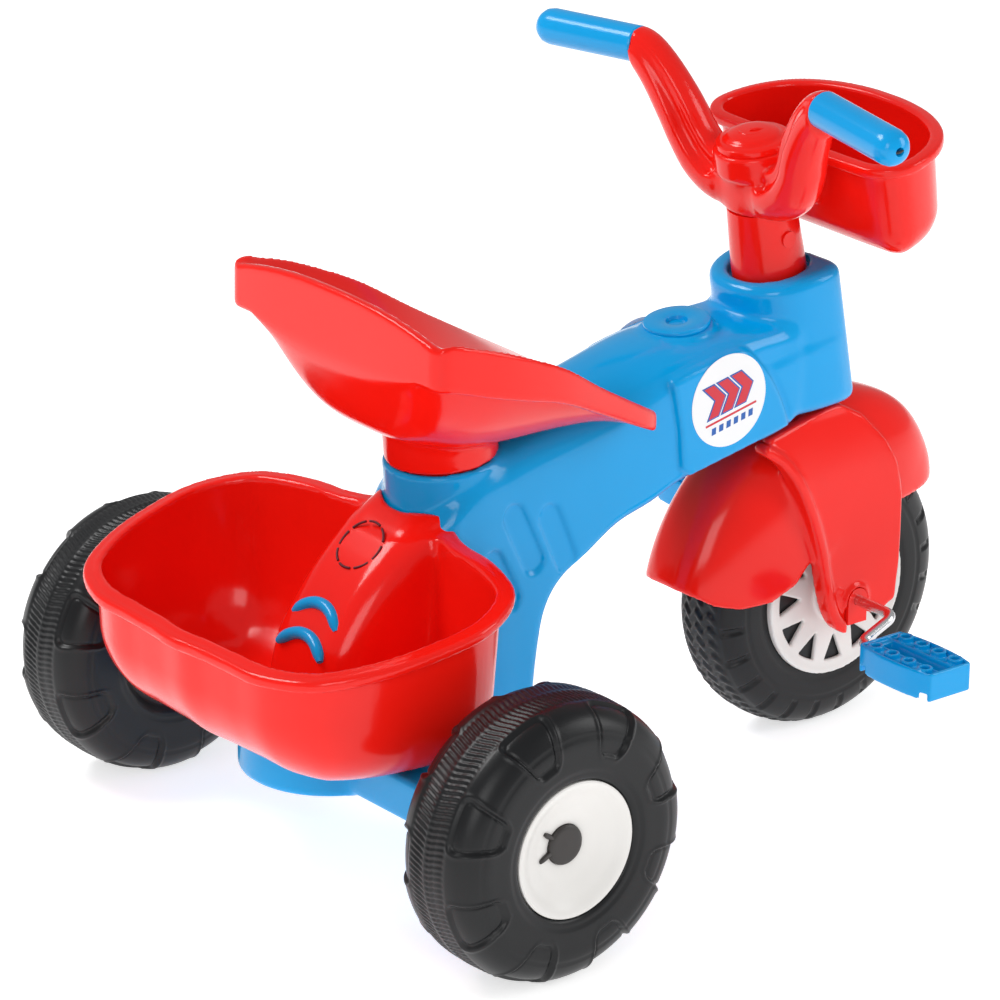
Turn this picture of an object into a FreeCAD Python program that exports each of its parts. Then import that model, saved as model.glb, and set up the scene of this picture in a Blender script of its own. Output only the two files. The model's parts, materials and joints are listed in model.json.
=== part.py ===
"""A child's pedal tricycle: moulded frame, scoop seat, rear tub, steered front wheel with a cranked axle.

Frame: X forward, Y to the rider's left, Z up, origin on the floor under the middle of the tricycle.
Pieces fixed to the frame are drawn from the rear axle's line and shifted by one placement.
Pieces that steer are drawn about the steering axis, with the front wheel's centre as their origin.
"""
import FreeCAD, Part
import Sketcher
import math
import os
import re

V = FreeCAD.Vector

# ---------------------------------------------------------------- driving sizes (mm, degrees)
SIZES = [
    ("rear_axle_x", -201.4), ("wheelbase", 435.4), ("rear_radius", 100.0), ("rear_track", 443.6),
    ("rear_width", 79.0), ("front_radius", 109.0), ("front_width", 60.0), ("lean", 10.9),
    ("tyre_wall", 3.0), ("rear_cap_radius", 48.6), ("front_cap_radius", 64.4), ("axle_radius", 5.0),
    ("crank_radius", 4.0), ("run_gap", 0.05), ("rest_gap", 0.4),
    ("beam_half", 45.0), ("skin", 4.0), ("socket_x", 88.0), ("socket_radius", 41.5), ("socket_top", 284.0),
    ("post_radius", 36.0), ("seat_tilt", 6.0), ("foot_x", -10.0), ("foot_radius", 62.0),
    ("foot_bottom", 76.0),
    ("foot_top", 113.0), ("axle_beam_half", 174.0), ("axle_beam_rear", -35.0), ("axle_beam_front", 24.0),
    ("head_half", 47.0), ("head_bore", 31.0), ("column_radius", 27.0), ("spigot_radius", 19.0),
    ("head_low", 153.0), ("head_high", 260.0), ("crown_radius", 34.0),
    ("fender_radius", 142.0), ("fender_half", 47.0), ("fender_wall", 4.0), ("leg_outer", 55.0),
    ("leg_inner", 44.0), ("seam_height", 307.0), ("collar_radius", 29.5), ("collar_top", 354.0),
    ("grip_radius", 13.5), ("grip_length", 86.0), ("grip_core", 8.0), ("basket_rim", 343.0),
    ("basket_depth", 80.0), ("basket_half", 90.0), ("basket_rear", 33.0), ("basket_front", 126.0),
    ("basket_lip", 7.0), ("wall", 3.0), ("crank_reach_x", 32.0), ("crank_reach_z", 13.5),
    ("crank_bend_y", 95.0),
    ("pedal_inner", 115.0), ("pedal_length", 75.0), ("pedal_width", 48.0), ("pedal_height", 20.0),
    ("stud_radius", 5.5), ("tub_rim_front", 66.0), ("tub_rim_rear", -138.0), ("tub_half", 160.0),
    ("tub_rim_height", 232.0), ("tub_rim_slope", 0.196), ("tub_floor", 113.0), ("tub_lip", 8.0),
    ("tunnel_half", 42.0), ("seat_rim_rear", -4.0), ("seat_front", 220.0), ("seat_half", 120.0),
    ("badge_radius", 33.0), ("badge_thickness", 0.6), ("badge_x", 304.5), ("badge_z", 290.0),
    ("button_x", 301.0), ("button_z", 334.0), ("button_radius", 24.5),
]

doc = FreeCAD.newDocument("Tricycle")
sheet = doc.addObject("Spreadsheet::Sheet", "Sizes")
for row, (alias, value) in enumerate(SIZES, start=1):
    sheet.set("A%d" % row, alias)
    sheet.set("B%d" % row, str(value))
    sheet.setAlias("B%d" % row, alias)
doc.recompute()
ALIASES = sorted((alias for alias, _ in SIZES), key=len, reverse=True)
WORD = re.compile(r"\b(" + "|".join(ALIASES) + r")\b")
NODES = {}


def size(alias):
    """Value of a spreadsheet cell."""
    return float(sheet.get(alias))


def bind(text):
    """Formula text with every size name pointed at the spreadsheet."""
    return WORD.sub(r"Sizes.\1", str(text))


def keep(obj, label, where="frame"):
    """Make an object a sub-part: give it its label and its placement."""
    obj.Label = label
    if where == "frame":
        obj.setExpression(".Placement.Base.x", bind("rear_axle_x"))
    elif where == "steer":
        obj.Placement = FreeCAD.Placement(V(), FreeCAD.Rotation(V(0, 1, 0), -size("lean")))
        obj.setExpression(".Placement.Base.x", bind("rear_axle_x + wheelbase"))
        obj.setExpression(".Placement.Base.z", bind("front_radius"))
    elif where == "front":
        obj.setExpression(".Placement.Base.x", bind("rear_axle_x + wheelbase"))
        obj.setExpression(".Placement.Base.z", bind("front_radius"))
    NODES[label] = obj
    return obj


def plane(body, role):
    """One of the body's own origin planes."""
    return [f for f in body.Origin.OriginFeatures if f.Role == role][0]


def polygon(body, name, role, points):
    """Closed sketch through points whose two coordinates are formulas over the spreadsheet."""
    sketch = body.newObject("Sketcher::SketchObject", name)
    sketch.AttachmentSupport = [(plane(body, role), "")]
    sketch.MapMode = "FlatFace"
    count = len(points)
    for i in range(count):
        a = 2 * math.pi * i / count
        b = 2 * math.pi * (i + 1) / count
        sketch.addGeometry(Part.LineSegment(V(math.cos(a), math.sin(a), 0), V(math.cos(b), math.sin(b), 0)))
    for i in range(count):
        sketch.addConstraint(Sketcher.Constraint("Coincident", i, 2, (i + 1) % count, 1))
    for i, point in enumerate(points):
        for kind, formula in zip(("DistanceX", "DistanceY"), point):
            index = sketch.addConstraint(Sketcher.Constraint(kind, -1, 1, i, 1, 1.0))
            sketch.setExpression("Constraints[%d]" % index, bind(formula))
    return sketch


def new_body(name):
    return doc.addObject("PartDesign::Body", name)


def revolve(body, sketch, axis):
    feature = body.newObject("PartDesign::Revolution", sketch.Name + "Turn")
    feature.Profile = sketch
    feature.ReferenceAxis = (sketch, [axis])
    feature.Angle = 360
    return feature


def pad(body, sketch, length):
    """Pad to both sides of the sketch's plane by half the length each."""
    feature = body.newObject("PartDesign::Pad", sketch.Name + "Pad")
    feature.Profile = sketch
    feature.Midplane = True
    feature.setExpression("Length", bind(length))
    return feature


def pocket(body, sketch, length):
    """Cut to both sides of the sketch's plane by half the length each."""
    feature = body.newObject("PartDesign::Pocket", sketch.Name + "Cut")
    feature.Profile = sketch
    feature.Midplane = True
    feature.setExpression("Length", bind(length))
    return feature


def cylinder(name, radius, height, base, axis=(0, 0, 1)):
    """Part cylinder; radius and height are formulas, base is three formulas."""
    obj = doc.addObject("Part::Cylinder", name)
    obj.Placement = FreeCAD.Placement(V(), FreeCAD.Rotation(V(0, 0, 1), V(*axis)))
    obj.setExpression("Radius", bind(radius))
    obj.setExpression("Height", bind(height))
    for letter, formula in zip("xyz", base):
        obj.setExpression(".Placement.Base." + letter, bind(formula))
    return obj


def box(name, low, high):
    """Part box between two corners given as formulas."""
    obj = doc.addObject("Part::Box", name)
    for side, a, b in zip(("Length", "Width", "Height"), low, high):
        obj.setExpression(side, bind("(%s) - (%s)" % (b, a)))
    for letter, formula in zip("xyz", low):
        obj.setExpression(".Placement.Base." + letter, bind(formula))
    return obj


def fuse(name, shapes):
    obj = doc.addObject("Part::MultiFuse", name)
    obj.Shapes = shapes
    return obj


def cut(name, base, tool):
    obj = doc.addObject("Part::Cut", name)
    obj.Base = base
    obj.Tool = tool
    return obj


def freeform(name, shape):
    """A piece whose surface no sketch feature gives."""
    obj = doc.addObject("Part::Feature", name)
    obj.Shape = shape
    return obj


def closed_spline(points):
    curve = Part.BSplineCurve()
    curve.interpolate(points, PeriodicFlag=True)
    return Part.Wire([curve.toShape()])


def superellipse(cx, a, b, power, z_of, count=24):
    """Rounded-rectangle outline about (cx, 0), its height given at each point by z_of(x, y)."""
    points = []
    for i in range(count):
        t = 2 * math.pi * i / count
        c = math.cos(t)
        s = math.sin(t)
        x = cx + a * math.copysign(abs(c) ** (2 / power), c)
        y = b * math.copysign(abs(s) ** (2 / power), s)
        points.append(V(x, y, z_of(x, y)))
    return closed_spline(points)


# ---------------------------------------------------------------- main frame
beam = new_body("BeamBody")
beam_outline = [
    ("-56", "foot_top"), ("-44", "foot_top + 18"), ("-30", "176"), ("4", "218"), ("38", "246"),
    ("60", "262"),
    ("130", "284"), ("204", "296"), ("230", "303"), ("266", "315"), ("292", "322"), ("330", "327"),
    ("372", "330"),
    ("376", "256"), ("329", "244"), ("275", "234"), ("246", "223"), ("200", "206"), ("164", "184"),
    ("151", "165"),
    ("144", "136"), ("141", "foot_bottom + 16"), ("126", "foot_bottom"), ("-56", "foot_bottom"),
]
outer = polygon(beam, "BeamOutline", "XZ_Plane", beam_outline)
pad(beam, outer, "2*beam_half")
hollow = polygon(beam, "BeamHollow", "XZ_Plane", [
    ("12", "foot_bottom + 6"), ("122", "foot_bottom + 6"), ("136", "118"), ("139", "138"), ("146", "168"),
    ("160", "190"), ("198", "212"), ("244", "229"), ("273", "240"), ("326", "250"), ("328", "321"),
    ("268", "310"),
    ("206", "290"), ("136", "278"), ("62", "256"), ("40", "240"), ("10", "215"), ("-22", "176"),
    ("-36", "134"),
    ("-40", "122"), ("12", "foot_top"),
])
pocket(beam, hollow, "2*(beam_half - skin)")
head = new_body("HeadBody")
head_outline = polygon(head, "HeadOutline", "XZ_Plane", [
    ("-58", "head_low"), ("26", "head_low"), ("34", "head_low + 10"), ("34", "head_high - 16"),
    ("24", "head_high"),
    ("-44", "head_high"), ("-52", "head_high - 16"), ("-60", "head_high - 60"),
])
pad(head, head_outline, "2*head_half")
head.Placement = FreeCAD.Placement(V(), FreeCAD.Rotation(V(0, 1, 0), -size("lean")))
head.setExpression(".Placement.Base.x", bind("wheelbase"))
head.setExpression(".Placement.Base.z", bind("front_radius"))
head_hollow = new_body("HeadHollowBody")
head_room = polygon(head_hollow, "HeadRoom", "XZ_Plane", [
    ("-54", "head_low + skin"), ("24", "head_low + skin"), ("30", "head_low + 12"),
    ("30", "head_high - 18"),
    ("22", "head_high - skin"), ("-42", "head_high - skin"), ("-48", "head_high - 18"),
    ("-56", "head_high - 60"),
])
pad(head_hollow, head_room, "2*(head_half - skin)")
head_hollow.Placement = FreeCAD.Placement(V(), FreeCAD.Rotation(V(0, 1, 0), -size("lean")))
head_hollow.setExpression(".Placement.Base.x", bind("wheelbase"))
head_hollow.setExpression(".Placement.Base.z", bind("front_radius"))
socket = cylinder("SeatSocket", "socket_radius", "socket_top - foot_bottom",
                  ("socket_x", "0", "foot_bottom"))
foot = cylinder("RearFoot", "foot_radius", "foot_top - foot_bottom", ("foot_x", "0", "foot_bottom"))
cross = box("AxleBeam", ("axle_beam_rear", "-axle_beam_half", "foot_bottom + 3"),
            ("axle_beam_front", "axle_beam_half", "foot_top - 0.5"))
boss = cylinder("ButtonBoss", "button_radius + 2.5", "24", ("button_x", "0", "button_z - 22"))
solid_frame = fuse("FrameSolid", [beam, head, socket, foot, cross, boss])


def steering_cylinder(name, radius, low, high):
    """Cylinder about the steering axis, from one height along it to another, in the rear axle's frame."""
    obj = doc.addObject("Part::Cylinder", name)
    obj.Placement = FreeCAD.Placement(V(), FreeCAD.Rotation(V(0, 1, 0), -size("lean")))
    obj.setExpression("Radius", bind(radius))
    obj.setExpression("Height", bind("(%s) - (%s)" % (high, low)))
    obj.setExpression(".Placement.Base.x", bind("wheelbase - (%s)*sin(lean*1deg)" % low))
    obj.setExpression(".Placement.Base.z", bind("front_radius + (%s)*cos(lean*1deg)" % low))
    return obj




def axle_sleeve(name):
    """Wall left standing round the rear axle inside the hollow parts of the frame."""
    return cylinder(name, "axle_radius + skin", "2*axle_beam_half + 40",
                    ("0", "-axle_beam_half - 20", "rear_radius"), (0, 1, 0))


frame_cuts = fuse("FrameCuts", [
    steering_cylinder("HeadBore", "head_bore", "head_low - 12", "head_high + 12"),
    cut("HeadRoomOutsideSleeve", head_hollow,
        steering_cylinder("HeadSleeve", "head_bore + skin", "head_low - 20", "head_high + 20")),
    cylinder("SeatBore", "post_radius", "socket_top - 200 + 1", ("socket_x", "0", "200")),
    cylinder("SocketHollow", "post_radius", "200 - foot_bottom - skin",
             ("socket_x", "0", "foot_bottom + skin - 0.5")),
    cylinder("AxleHole", "axle_radius", "2*axle_beam_half + 40",
             ("0", "-axle_beam_half - 20", "rear_radius"), (0, 1, 0)),
    cut("LeftRoom", box("LeftRoomBox", ("axle_beam_rear + skin", "foot_radius + 4",
                                        "foot_bottom + 3 + skin"),
                        ("axle_beam_front - skin", "axle_beam_half - skin", "foot_top - 0.5 - skin")),
        axle_sleeve("LeftSleeve")),
    cut("RightRoom", box("RightRoomBox", ("axle_beam_rear + skin", "-axle_beam_half + skin",
                                          "foot_bottom + 3 + skin"),
                         ("axle_beam_front - skin", "-foot_radius - 4", "foot_top - 0.5 - skin")),
        axle_sleeve("RightSleeve")),
    cut("FootRoom", cylinder("FootRoomRound", "foot_radius - skin", "foot_top - skin - foot_bottom + 1",
                             ("foot_x", "0", "foot_bottom - 1")), axle_sleeve("FootSleeve")),
    cylinder("ButtonSeat", "button_radius - 4", "12", ("button_x", "0", "button_z - 9")),
    cylinder("TubScrewHoleLeft", "2.0", "22", ("-28", "30", "foot_top - 12")),
    cylinder("TubScrewHoleRight", "2.0", "22", ("-28", "-30", "foot_top - 12")),
])
main_frame = keep(cut("MainFrame", solid_frame, frame_cuts), "main_frame")

badge_pair = []
for side, sign in (("left", 1), ("right", -1)):
    low = "beam_half" if sign > 0 else "-beam_half - badge_thickness"
    badge = cylinder("Badge" + side, "badge_radius", "badge_thickness", ("badge_x", low, "badge_z"),
                     (0, 1, 0))
    keep(badge, "badge_" + side)
    badge.setExpression(".Placement.Base.x", bind("rear_axle_x + badge_x"))
button_top = cylinder("ButtonTop", "button_radius", "4", ("button_x", "0", "button_z + 2"))
button_stem = cylinder("ButtonStem", "button_radius - 4.1", "10", ("button_x", "0", "button_z - 7.5"))
button_hole = cylinder("ButtonHole", "7", "6", ("button_x", "0", "button_z + 1"))
beam_cap = keep(cut("BeamCap", fuse("BeamCapSolid", [button_top, button_stem]), button_hole), "beam_cap")


def ring(name, outer_radius, inner_radius, low, high):
    """Bush about the steering axis, in the steering frame."""
    return cut(name, cylinder(name + "Outer", outer_radius, "(%s) - (%s)" % (high, low), ("0", "0", low)),
               cylinder(name + "Inner", inner_radius, "(%s) - (%s) + 4" % (high, low),
                        ("0", "0", "(%s) - 2" % low)))


keep(ring("UpperBush", "head_bore", "column_radius + run_gap", "head_high - 22", "head_high - 8"),
     "head_bush_upper", "steer")
keep(ring("LowerBush", "head_bore", "column_radius + run_gap", "head_low + 1", "head_low + 15"),
     "head_bush_lower", "steer")

# ---------------------------------------------------------------- seat
def seat_section(x, rim, pan, under, half, lip):
    """Closed cross-section of the seat at one station: heights of rim, pan and underside, and half-width."""
    top = [V(x, half, rim), V(x, 0.72 * half, pan + 0.62 * (rim - pan)),
           V(x, 0.38 * half, pan + 0.14 * (rim - pan)), V(x, 0, pan)]
    edge = rim - lip
    bottom = [V(x, half, edge), V(x, 0.86 * half, edge - 0.1 * (edge - under)),
              V(x, 0.45 * half, under + 0.15 * (edge - under)), V(x, 0, under)]
    upper = top + [V(p.x, -p.y, p.z) for p in reversed(top[:-1])]
    lower = bottom + [V(p.x, -p.y, p.z) for p in reversed(bottom[:-1])]
    over = Part.BSplineCurve()
    over.interpolate(upper)
    below = Part.BSplineCurve()
    below.interpolate(lower)
    right = Part.LineSegment(upper[0], lower[0])
    left = Part.LineSegment(upper[-1], lower[-1])
    return Part.Wire(Part.__sortEdges__([over.toShape(), left.toShape(), below.toShape(), right.toShape()]))


rear = size("seat_rim_rear")
front = size("seat_front")
half = size("seat_half")
stations = [
    (rear, 414.0, 416.0, 379.0, 0.97 * half, 26.0),
    (rear + 12, 409.0, 392.0, 350.0, half, 28.0),
    (rear + 34, 400.0, 366.0, 322.0, half, 26.0),
    (rear + 64, 386.0, 354.0, 306.0, half, 24.0),
    (0.5 * (rear + front) - 4, 375.0, 352.0, 303.0, half, 22.0),
    (rear + 150, 350.0, 341.0, 305.0, 0.86 * half, 14.0),
    (rear + 190, 328.0, 325.0, 306.0, 0.75 * half, 9.0),
    (front, 308.0, 308.0, 303.5, 0.66 * half, 4.0),
]
shell = Part.makeLoft([seat_section(*row) for row in stations], True, False)
air = Part.makeLoft([seat_section(x, rim_z - 4, pan_z - 4, under_z + 4, wide - 6, lip_z - 7)
                     for x, rim_z, pan_z, under_z, wide, lip_z in stations[1:6]], True, False)
shell = shell.cut(air)
collar = Part.makeCylinder(size("socket_radius") - 1.5, 32, V(size("socket_x"), 0, size("socket_top")))
spigot = Part.makeCylinder(size("post_radius") - 0.1, 62, V(size("socket_x"), 0, size("socket_top") - 60))
core = Part.makeCylinder(size("post_radius") - 4, 70, V(size("socket_x"), 0, size("socket_top") - 62))
seat = keep(freeform("Seat", shell.fuse([collar, spigot]).cut(core).removeSplitter()), "seat")

# ---------------------------------------------------------------- rear tub
def rim_height(x, y=0):
    """Height of the tub's rim plane, which falls towards the rear."""
    return size("tub_rim_height") + size("tub_rim_slope") * x


def tub_loft(inset):
    """Tub volume, drawn in from the outer surface by inset."""
    front_x = size("tub_rim_front") - inset
    rear_x = size("tub_rim_rear") + inset
    middle = 0.5 * (front_x + rear_x)
    reach = 0.5 * (front_x - rear_x)
    side = size("tub_half") - inset
    floor_z = size("tub_floor") + inset
    wires = [
        superellipse(middle + 2, 0.62 * reach, 0.56 * side, 2.8, lambda x, y: floor_z),
        superellipse(middle, 0.83 * reach, 0.82 * side, 3.2, lambda x, y: floor_z + 20 + 0.04 * x),
        superellipse(middle, 0.93 * reach, 0.93 * side, 3.4, lambda x, y: floor_z + 55 + 0.12 * x),
        superellipse(middle, reach, side, 3.4, lambda x, y: rim_height(x) + 2 * (inset > 0)),
    ]
    return Part.makeLoft(wires, True, False), wires[-1]


tub_outer, rim_wire = tub_loft(0)
tub_inner, _ = tub_loft(size("wall"))
lip_wire = superellipse(0.5 * (size("tub_rim_front") + size("tub_rim_rear")),
                        0.5 * (size("tub_rim_front") - size("tub_rim_rear")) + size("tub_lip"),
                        size("tub_half") + size("tub_lip"), 3.4, rim_height)
lip = Part.makeLoft([lip_wire, lip_wire.translated(V(0, 0, -9))], True, True)
tunnel_half = size("tunnel_half")
socket_x = size("socket_x")


def tunnel(grow):
    """Raised cover over the frame's sloping spine and the round seat socket."""
    line = [(-62 - grow, 60), (-62 - grow, 112 + grow), (-48 - grow, 128 + grow), (-34 - grow, 178 + grow),
            (0, 222 + grow),
            (34, 248 + grow), (140, 262 + grow), (140, 60)]
    wire = Part.makePolygon([V(x, 0, z) for x, z in line + line[:1]])
    wide = 2 * (tunnel_half + 4 + grow)
    return Part.Face(wire).extrude(V(0, wide, 0)).translated(V(0, -wide / 2, 0))


tub_solid = tub_outer.fuse(lip)
hollow_tub = tub_solid.cut(tub_inner.cut(tunnel(size("wall"))))
hollow_tub = hollow_tub.cut(tunnel(0))
rear_tub = keep(freeform("RearTub", hollow_tub.removeSplitter()), "rear_tub")
hooks = []
for i, (x, z) in enumerate((("-21", "192"), ("-34", "166"))):
    bar = doc.addObject("Part::Torus", "Hook%d" % i)
    bar.setExpression("Radius1", bind("tunnel_half*0.55"))
    bar.Radius2 = 3.5
    bar.Angle3 = 180
    bar.Placement = FreeCAD.Placement(V(), FreeCAD.Rotation(V(0, 0, 1), 90) * FreeCAD.Rotation(V(1, 0, 0),
            0))
    bar.setExpression(".Placement.Base.x", bind(x + " + 12"))
    bar.setExpression(".Placement.Base.z", bind(z))
    hooks.append(bar)
keep(fuse("TubHooks", hooks), "tub_hooks")

# ---------------------------------------------------------------- rear axle and wheels
keep(cylinder("RearAxle", "axle_radius - 0.02", "rear_track + rear_width - 8",
              ("0", "-(rear_track + rear_width - 8)/2", "rear_radius"), (0, 1, 0)), "rear_axle")
doc.RearAxle.setExpression(".Placement.Base.x", bind("rear_axle_x"))


def wheel_ring(name, points, label, x, y, z, flip):
    """A turned piece of a wheel: points are (distance out from the wheel's middle, radius)."""
    body = new_body(name)
    sign = "-" if flip else ""
    sketch = polygon(body, name + "Profile", "YZ_Plane", [("%s(%s)" % (sign, a), r) for a, r in points])
    revolve(body, sketch, "H_Axis")
    body.Label = label
    for letter, formula in zip("xyz", (x, y, z)):
        body.setExpression(".Placement.Base." + letter, bind(formula))
    NODES[label] = body
    return body


def hollow_ring(name, outer_points, inner_points, label, x, y, z, flip):
    """A blow-moulded tyre: the outer profile turned, less the air inside."""
    outer_body = new_body(name + "Skin")
    inner_body = new_body(name + "Air")
    sign = "-" if flip else ""
    for body, points in ((outer_body, outer_points), (inner_body, inner_points)):
        sketch = polygon(body, body.Name + "Profile", "YZ_Plane",
                         [("%s(%s)" % (sign, a), r) for a, r in points])
        revolve(body, sketch, "H_Axis")
    tyre = cut(name, outer_body, inner_body)
    tyre.Label = label
    for letter, formula in zip("xyz", (x, y, z)):
        tyre.setExpression(".Placement.Base." + letter, bind(formula))
    NODES[label] = tyre
    return tyre


REAR_SKIN = [
    ("-rear_width/2 + 9", "9"), ("-rear_width/2 + 9", "rear_cap_radius"),
    ("-rear_width/2 + 1", "rear_cap_radius + 4"),
    ("-rear_width/2", "80"), ("-33", "91"), ("-25", "rear_radius - 1.5"), ("-14", "rear_radius"),
    ("14", "rear_radius"), ("25", "rear_radius - 1.5"), ("33", "91"), ("rear_width/2", "80"),
    ("rear_width/2 - 1", "rear_cap_radius + 4"), ("rear_width/2 - 4", "rear_cap_radius + 0.5"),
    ("rear_width/2 - 13", "rear_cap_radius + 0.5"), ("rear_width/2 - 18", "16"), ("rear_width/2 - 18", "9"),
]
REAR_AIR = [
    ("-rear_width/2 + 12", "12"), ("-rear_width/2 + 12", "rear_cap_radius + 3"),
    ("-rear_width/2 + 4", "rear_cap_radius + 7"),
    ("-rear_width/2 + 3", "79"), ("-31", "88.5"), ("-24", "rear_radius - 5"), ("-13", "rear_radius - 3"),
    ("13", "rear_radius - 3"), ("24", "rear_radius - 5"), ("31", "88.5"), ("rear_width/2 - 3", "79"),
    ("rear_width/2 - 4", "rear_cap_radius + 7"), ("rear_width/2 - 16", "rear_cap_radius"),
    ("rear_width/2 - 21", "18"),
    ("rear_width/2 - 21", "12"),
]
REAR_CAP = [
    ("rear_width/2 - 17.5", "14.5"), ("rear_width/2 - 15.4", "14.5"), ("rear_width/2 - 12", "26"),
    ("rear_width/2 - 7", "38"), ("rear_width/2 - 3", "rear_cap_radius - 5"),
    ("rear_width/2 - 2.5", "rear_cap_radius - 1"),
    ("rear_width/2 - 4", "rear_cap_radius"), ("rear_width/2 - 12.9", "rear_cap_radius"),
    ("rear_width/2 - 12.9", "rear_cap_radius - 3"), ("rear_width/2 - 6.5", "rear_cap_radius - 5"),
    ("rear_width/2 - 10", "38"), ("rear_width/2 - 14.5", "27"), ("rear_width/2 - 17.5", "17.5"),
]
REAR_BUSH = [
    ("-rear_width/2 + 6", "axle_radius + run_gap"), ("-rear_width/2 + 6", "14"),
    ("-rear_width/2 + 9", "14"),
    ("-rear_width/2 + 9", "9"), ("rear_width/2 - 18", "9"), ("rear_width/2 - 18", "12"),
    ("rear_width/2 - 16", "12"), ("rear_width/2 - 16", "axle_radius + run_gap"),
]
for side, flip, y in (("left", False, "rear_track/2"), ("right", True, "-rear_track/2")):
    spot = ("rear_axle_x", y, "rear_radius")
    hollow_ring("RearTyre" + side, REAR_SKIN, REAR_AIR, "rear_tyre_" + side, *spot, flip)
    wheel_ring("RearCap" + side, REAR_CAP, "rear_hubcap_" + side, *spot, flip)
    wheel_ring("RearBush" + side, REAR_BUSH, "rear_hub_bush_" + side, *spot, flip)
    wheel_ring("AxleCap" + side, [
        ("rear_width/2 - 15.4", "axle_radius"), ("rear_width/2 - 15.4", "13.6"),
        ("rear_width/2 - 11", "13.6"),
        ("rear_width/2 - 9.5", "12"), ("rear_width/2 - 2.4", "0.8*axle_radius"),
        ("rear_width/2 - 2.4", "0"),
        ("rear_width/2 - 4", "0"), ("rear_width/2 - 4", "axle_radius"),
    ], "axle_cap_" + side, *spot, flip)
spacers = []
for side, low in (("Left", "axle_beam_half + 0.1"), ("Right", "-axle_beam_half - 13.9")):
    tube = cylinder("Spacer" + side, "9", "13.8", ("0", low, "rear_radius"), (0, 1, 0))
    tube_bore = cylinder("SpacerBore" + side, "axle_radius", "20", ("0", low + " - 3", "rear_radius"),
                         (0, 1, 0))
    spacers.append(cut("AxleSpacer" + side, tube, tube_bore))
keep(fuse("AxleSpacers", spacers), "axle_spacers")

# ---------------------------------------------------------------- front wheel, crank and pedals
front_spot = ("rear_axle_x + wheelbase", "0", "front_radius")
FRONT_SKIN = [
    ("-front_width/2 + 2", "9"), ("-front_width/2 + 2", "front_cap_radius + 1"),
    ("-front_width/2", "front_cap_radius + 3"),
    ("-front_width/2", "88"), ("-25", "99"), ("-18", "front_radius - 2.5"), ("-9", "front_radius"),
    ("9", "front_radius"),
    ("18", "front_radius - 2.5"), ("25", "99"), ("front_width/2", "88"),
    ("front_width/2", "front_cap_radius + 3"),
    ("front_width/2 - 2", "front_cap_radius + 1"), ("front_width/2 - 2", "9"),
]
FRONT_AIR = [
    ("-front_width/2 + 5", "12"), ("-front_width/2 + 5", "front_cap_radius"),
    ("-front_width/2 + 3", "front_cap_radius + 5"),
    ("-front_width/2 + 3", "87"), ("-23", "96"), ("-17", "front_radius - 6"), ("-8", "front_radius - 3"),
    ("8", "front_radius - 3"),
    ("17", "front_radius - 6"), ("23", "96"), ("front_width/2 - 3", "87"),
    ("front_width/2 - 3", "front_cap_radius + 5"),
    ("front_width/2 - 5", "front_cap_radius"), ("front_width/2 - 5", "12"),
]
hollow_ring("FrontTyre", FRONT_SKIN, FRONT_AIR, "front_tyre", *front_spot, False)
FRONT_CAP = [
    ("front_width/2 - 2", "9"), ("front_width/2 + 3", "9"), ("front_width/2 + 3", "30"),
    ("front_width/2 + 1.5", "56"),
    ("front_width/2 + 2.5", "front_cap_radius - 2"), ("front_width/2 + 1.5", "front_cap_radius"),
    ("front_width/2 - 2", "front_cap_radius"),
]
for side, flip in (("left", False), ("right", True)):
    wheel_ring("FrontCap" + side, FRONT_CAP, "front_hubcap_" + side, *front_spot, flip)
wheel_ring("CrankSleeve", [("-front_width/2 - 3", "crank_radius"), ("-front_width/2 - 3", "9"),
                           ("front_width/2 + 3", "9"),
                           ("front_width/2 + 3", "crank_radius")], "crank_sleeve", *front_spot, False)


crank_parts = [cylinder("CrankShaft", "crank_radius", "2*crank_bend_y", ("0", "-crank_bend_y", "0"),
                        (0, 1, 0))]
for side, sign in (("left", 1), ("right", -1)):
    ball = doc.addObject("Part::Sphere", "CrankElbow" + side)
    ball.setExpression("Radius", bind("crank_radius"))
    ball.setExpression(".Placement.Base.y", bind("%d*crank_bend_y" % sign))
    arm = cylinder("CrankArm" + side, "crank_radius", "sqrt(crank_reach_x^2 + crank_reach_z^2)",
                   ("0", "%d*crank_bend_y" % sign, "0"),
                   (sign * size("crank_reach_x"), 0, sign * size("crank_reach_z")))
    outer_ball = doc.addObject("Part::Sphere", "CrankKnee" + side)
    outer_ball.setExpression("Radius", bind("crank_radius"))
    outer_ball.setExpression(".Placement.Base.x", bind("%d*crank_reach_x" % sign))
    outer_ball.setExpression(".Placement.Base.y", bind("%d*crank_bend_y" % sign))
    outer_ball.setExpression(".Placement.Base.z", bind("%d*crank_reach_z" % sign))
    peg_low = "crank_bend_y" if sign > 0 else "-pedal_inner - pedal_length - 4"
    peg = cylinder("CrankPeg" + side, "crank_radius", "pedal_inner + pedal_length + 4 - crank_bend_y",
                   ("%d*crank_reach_x" % sign, peg_low, "%d*crank_reach_z" % sign), (0, 1, 0))
    crank_parts += [ball, arm, outer_ball, peg]
keep(fuse("Crank", crank_parts), "crank", "front")


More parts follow.
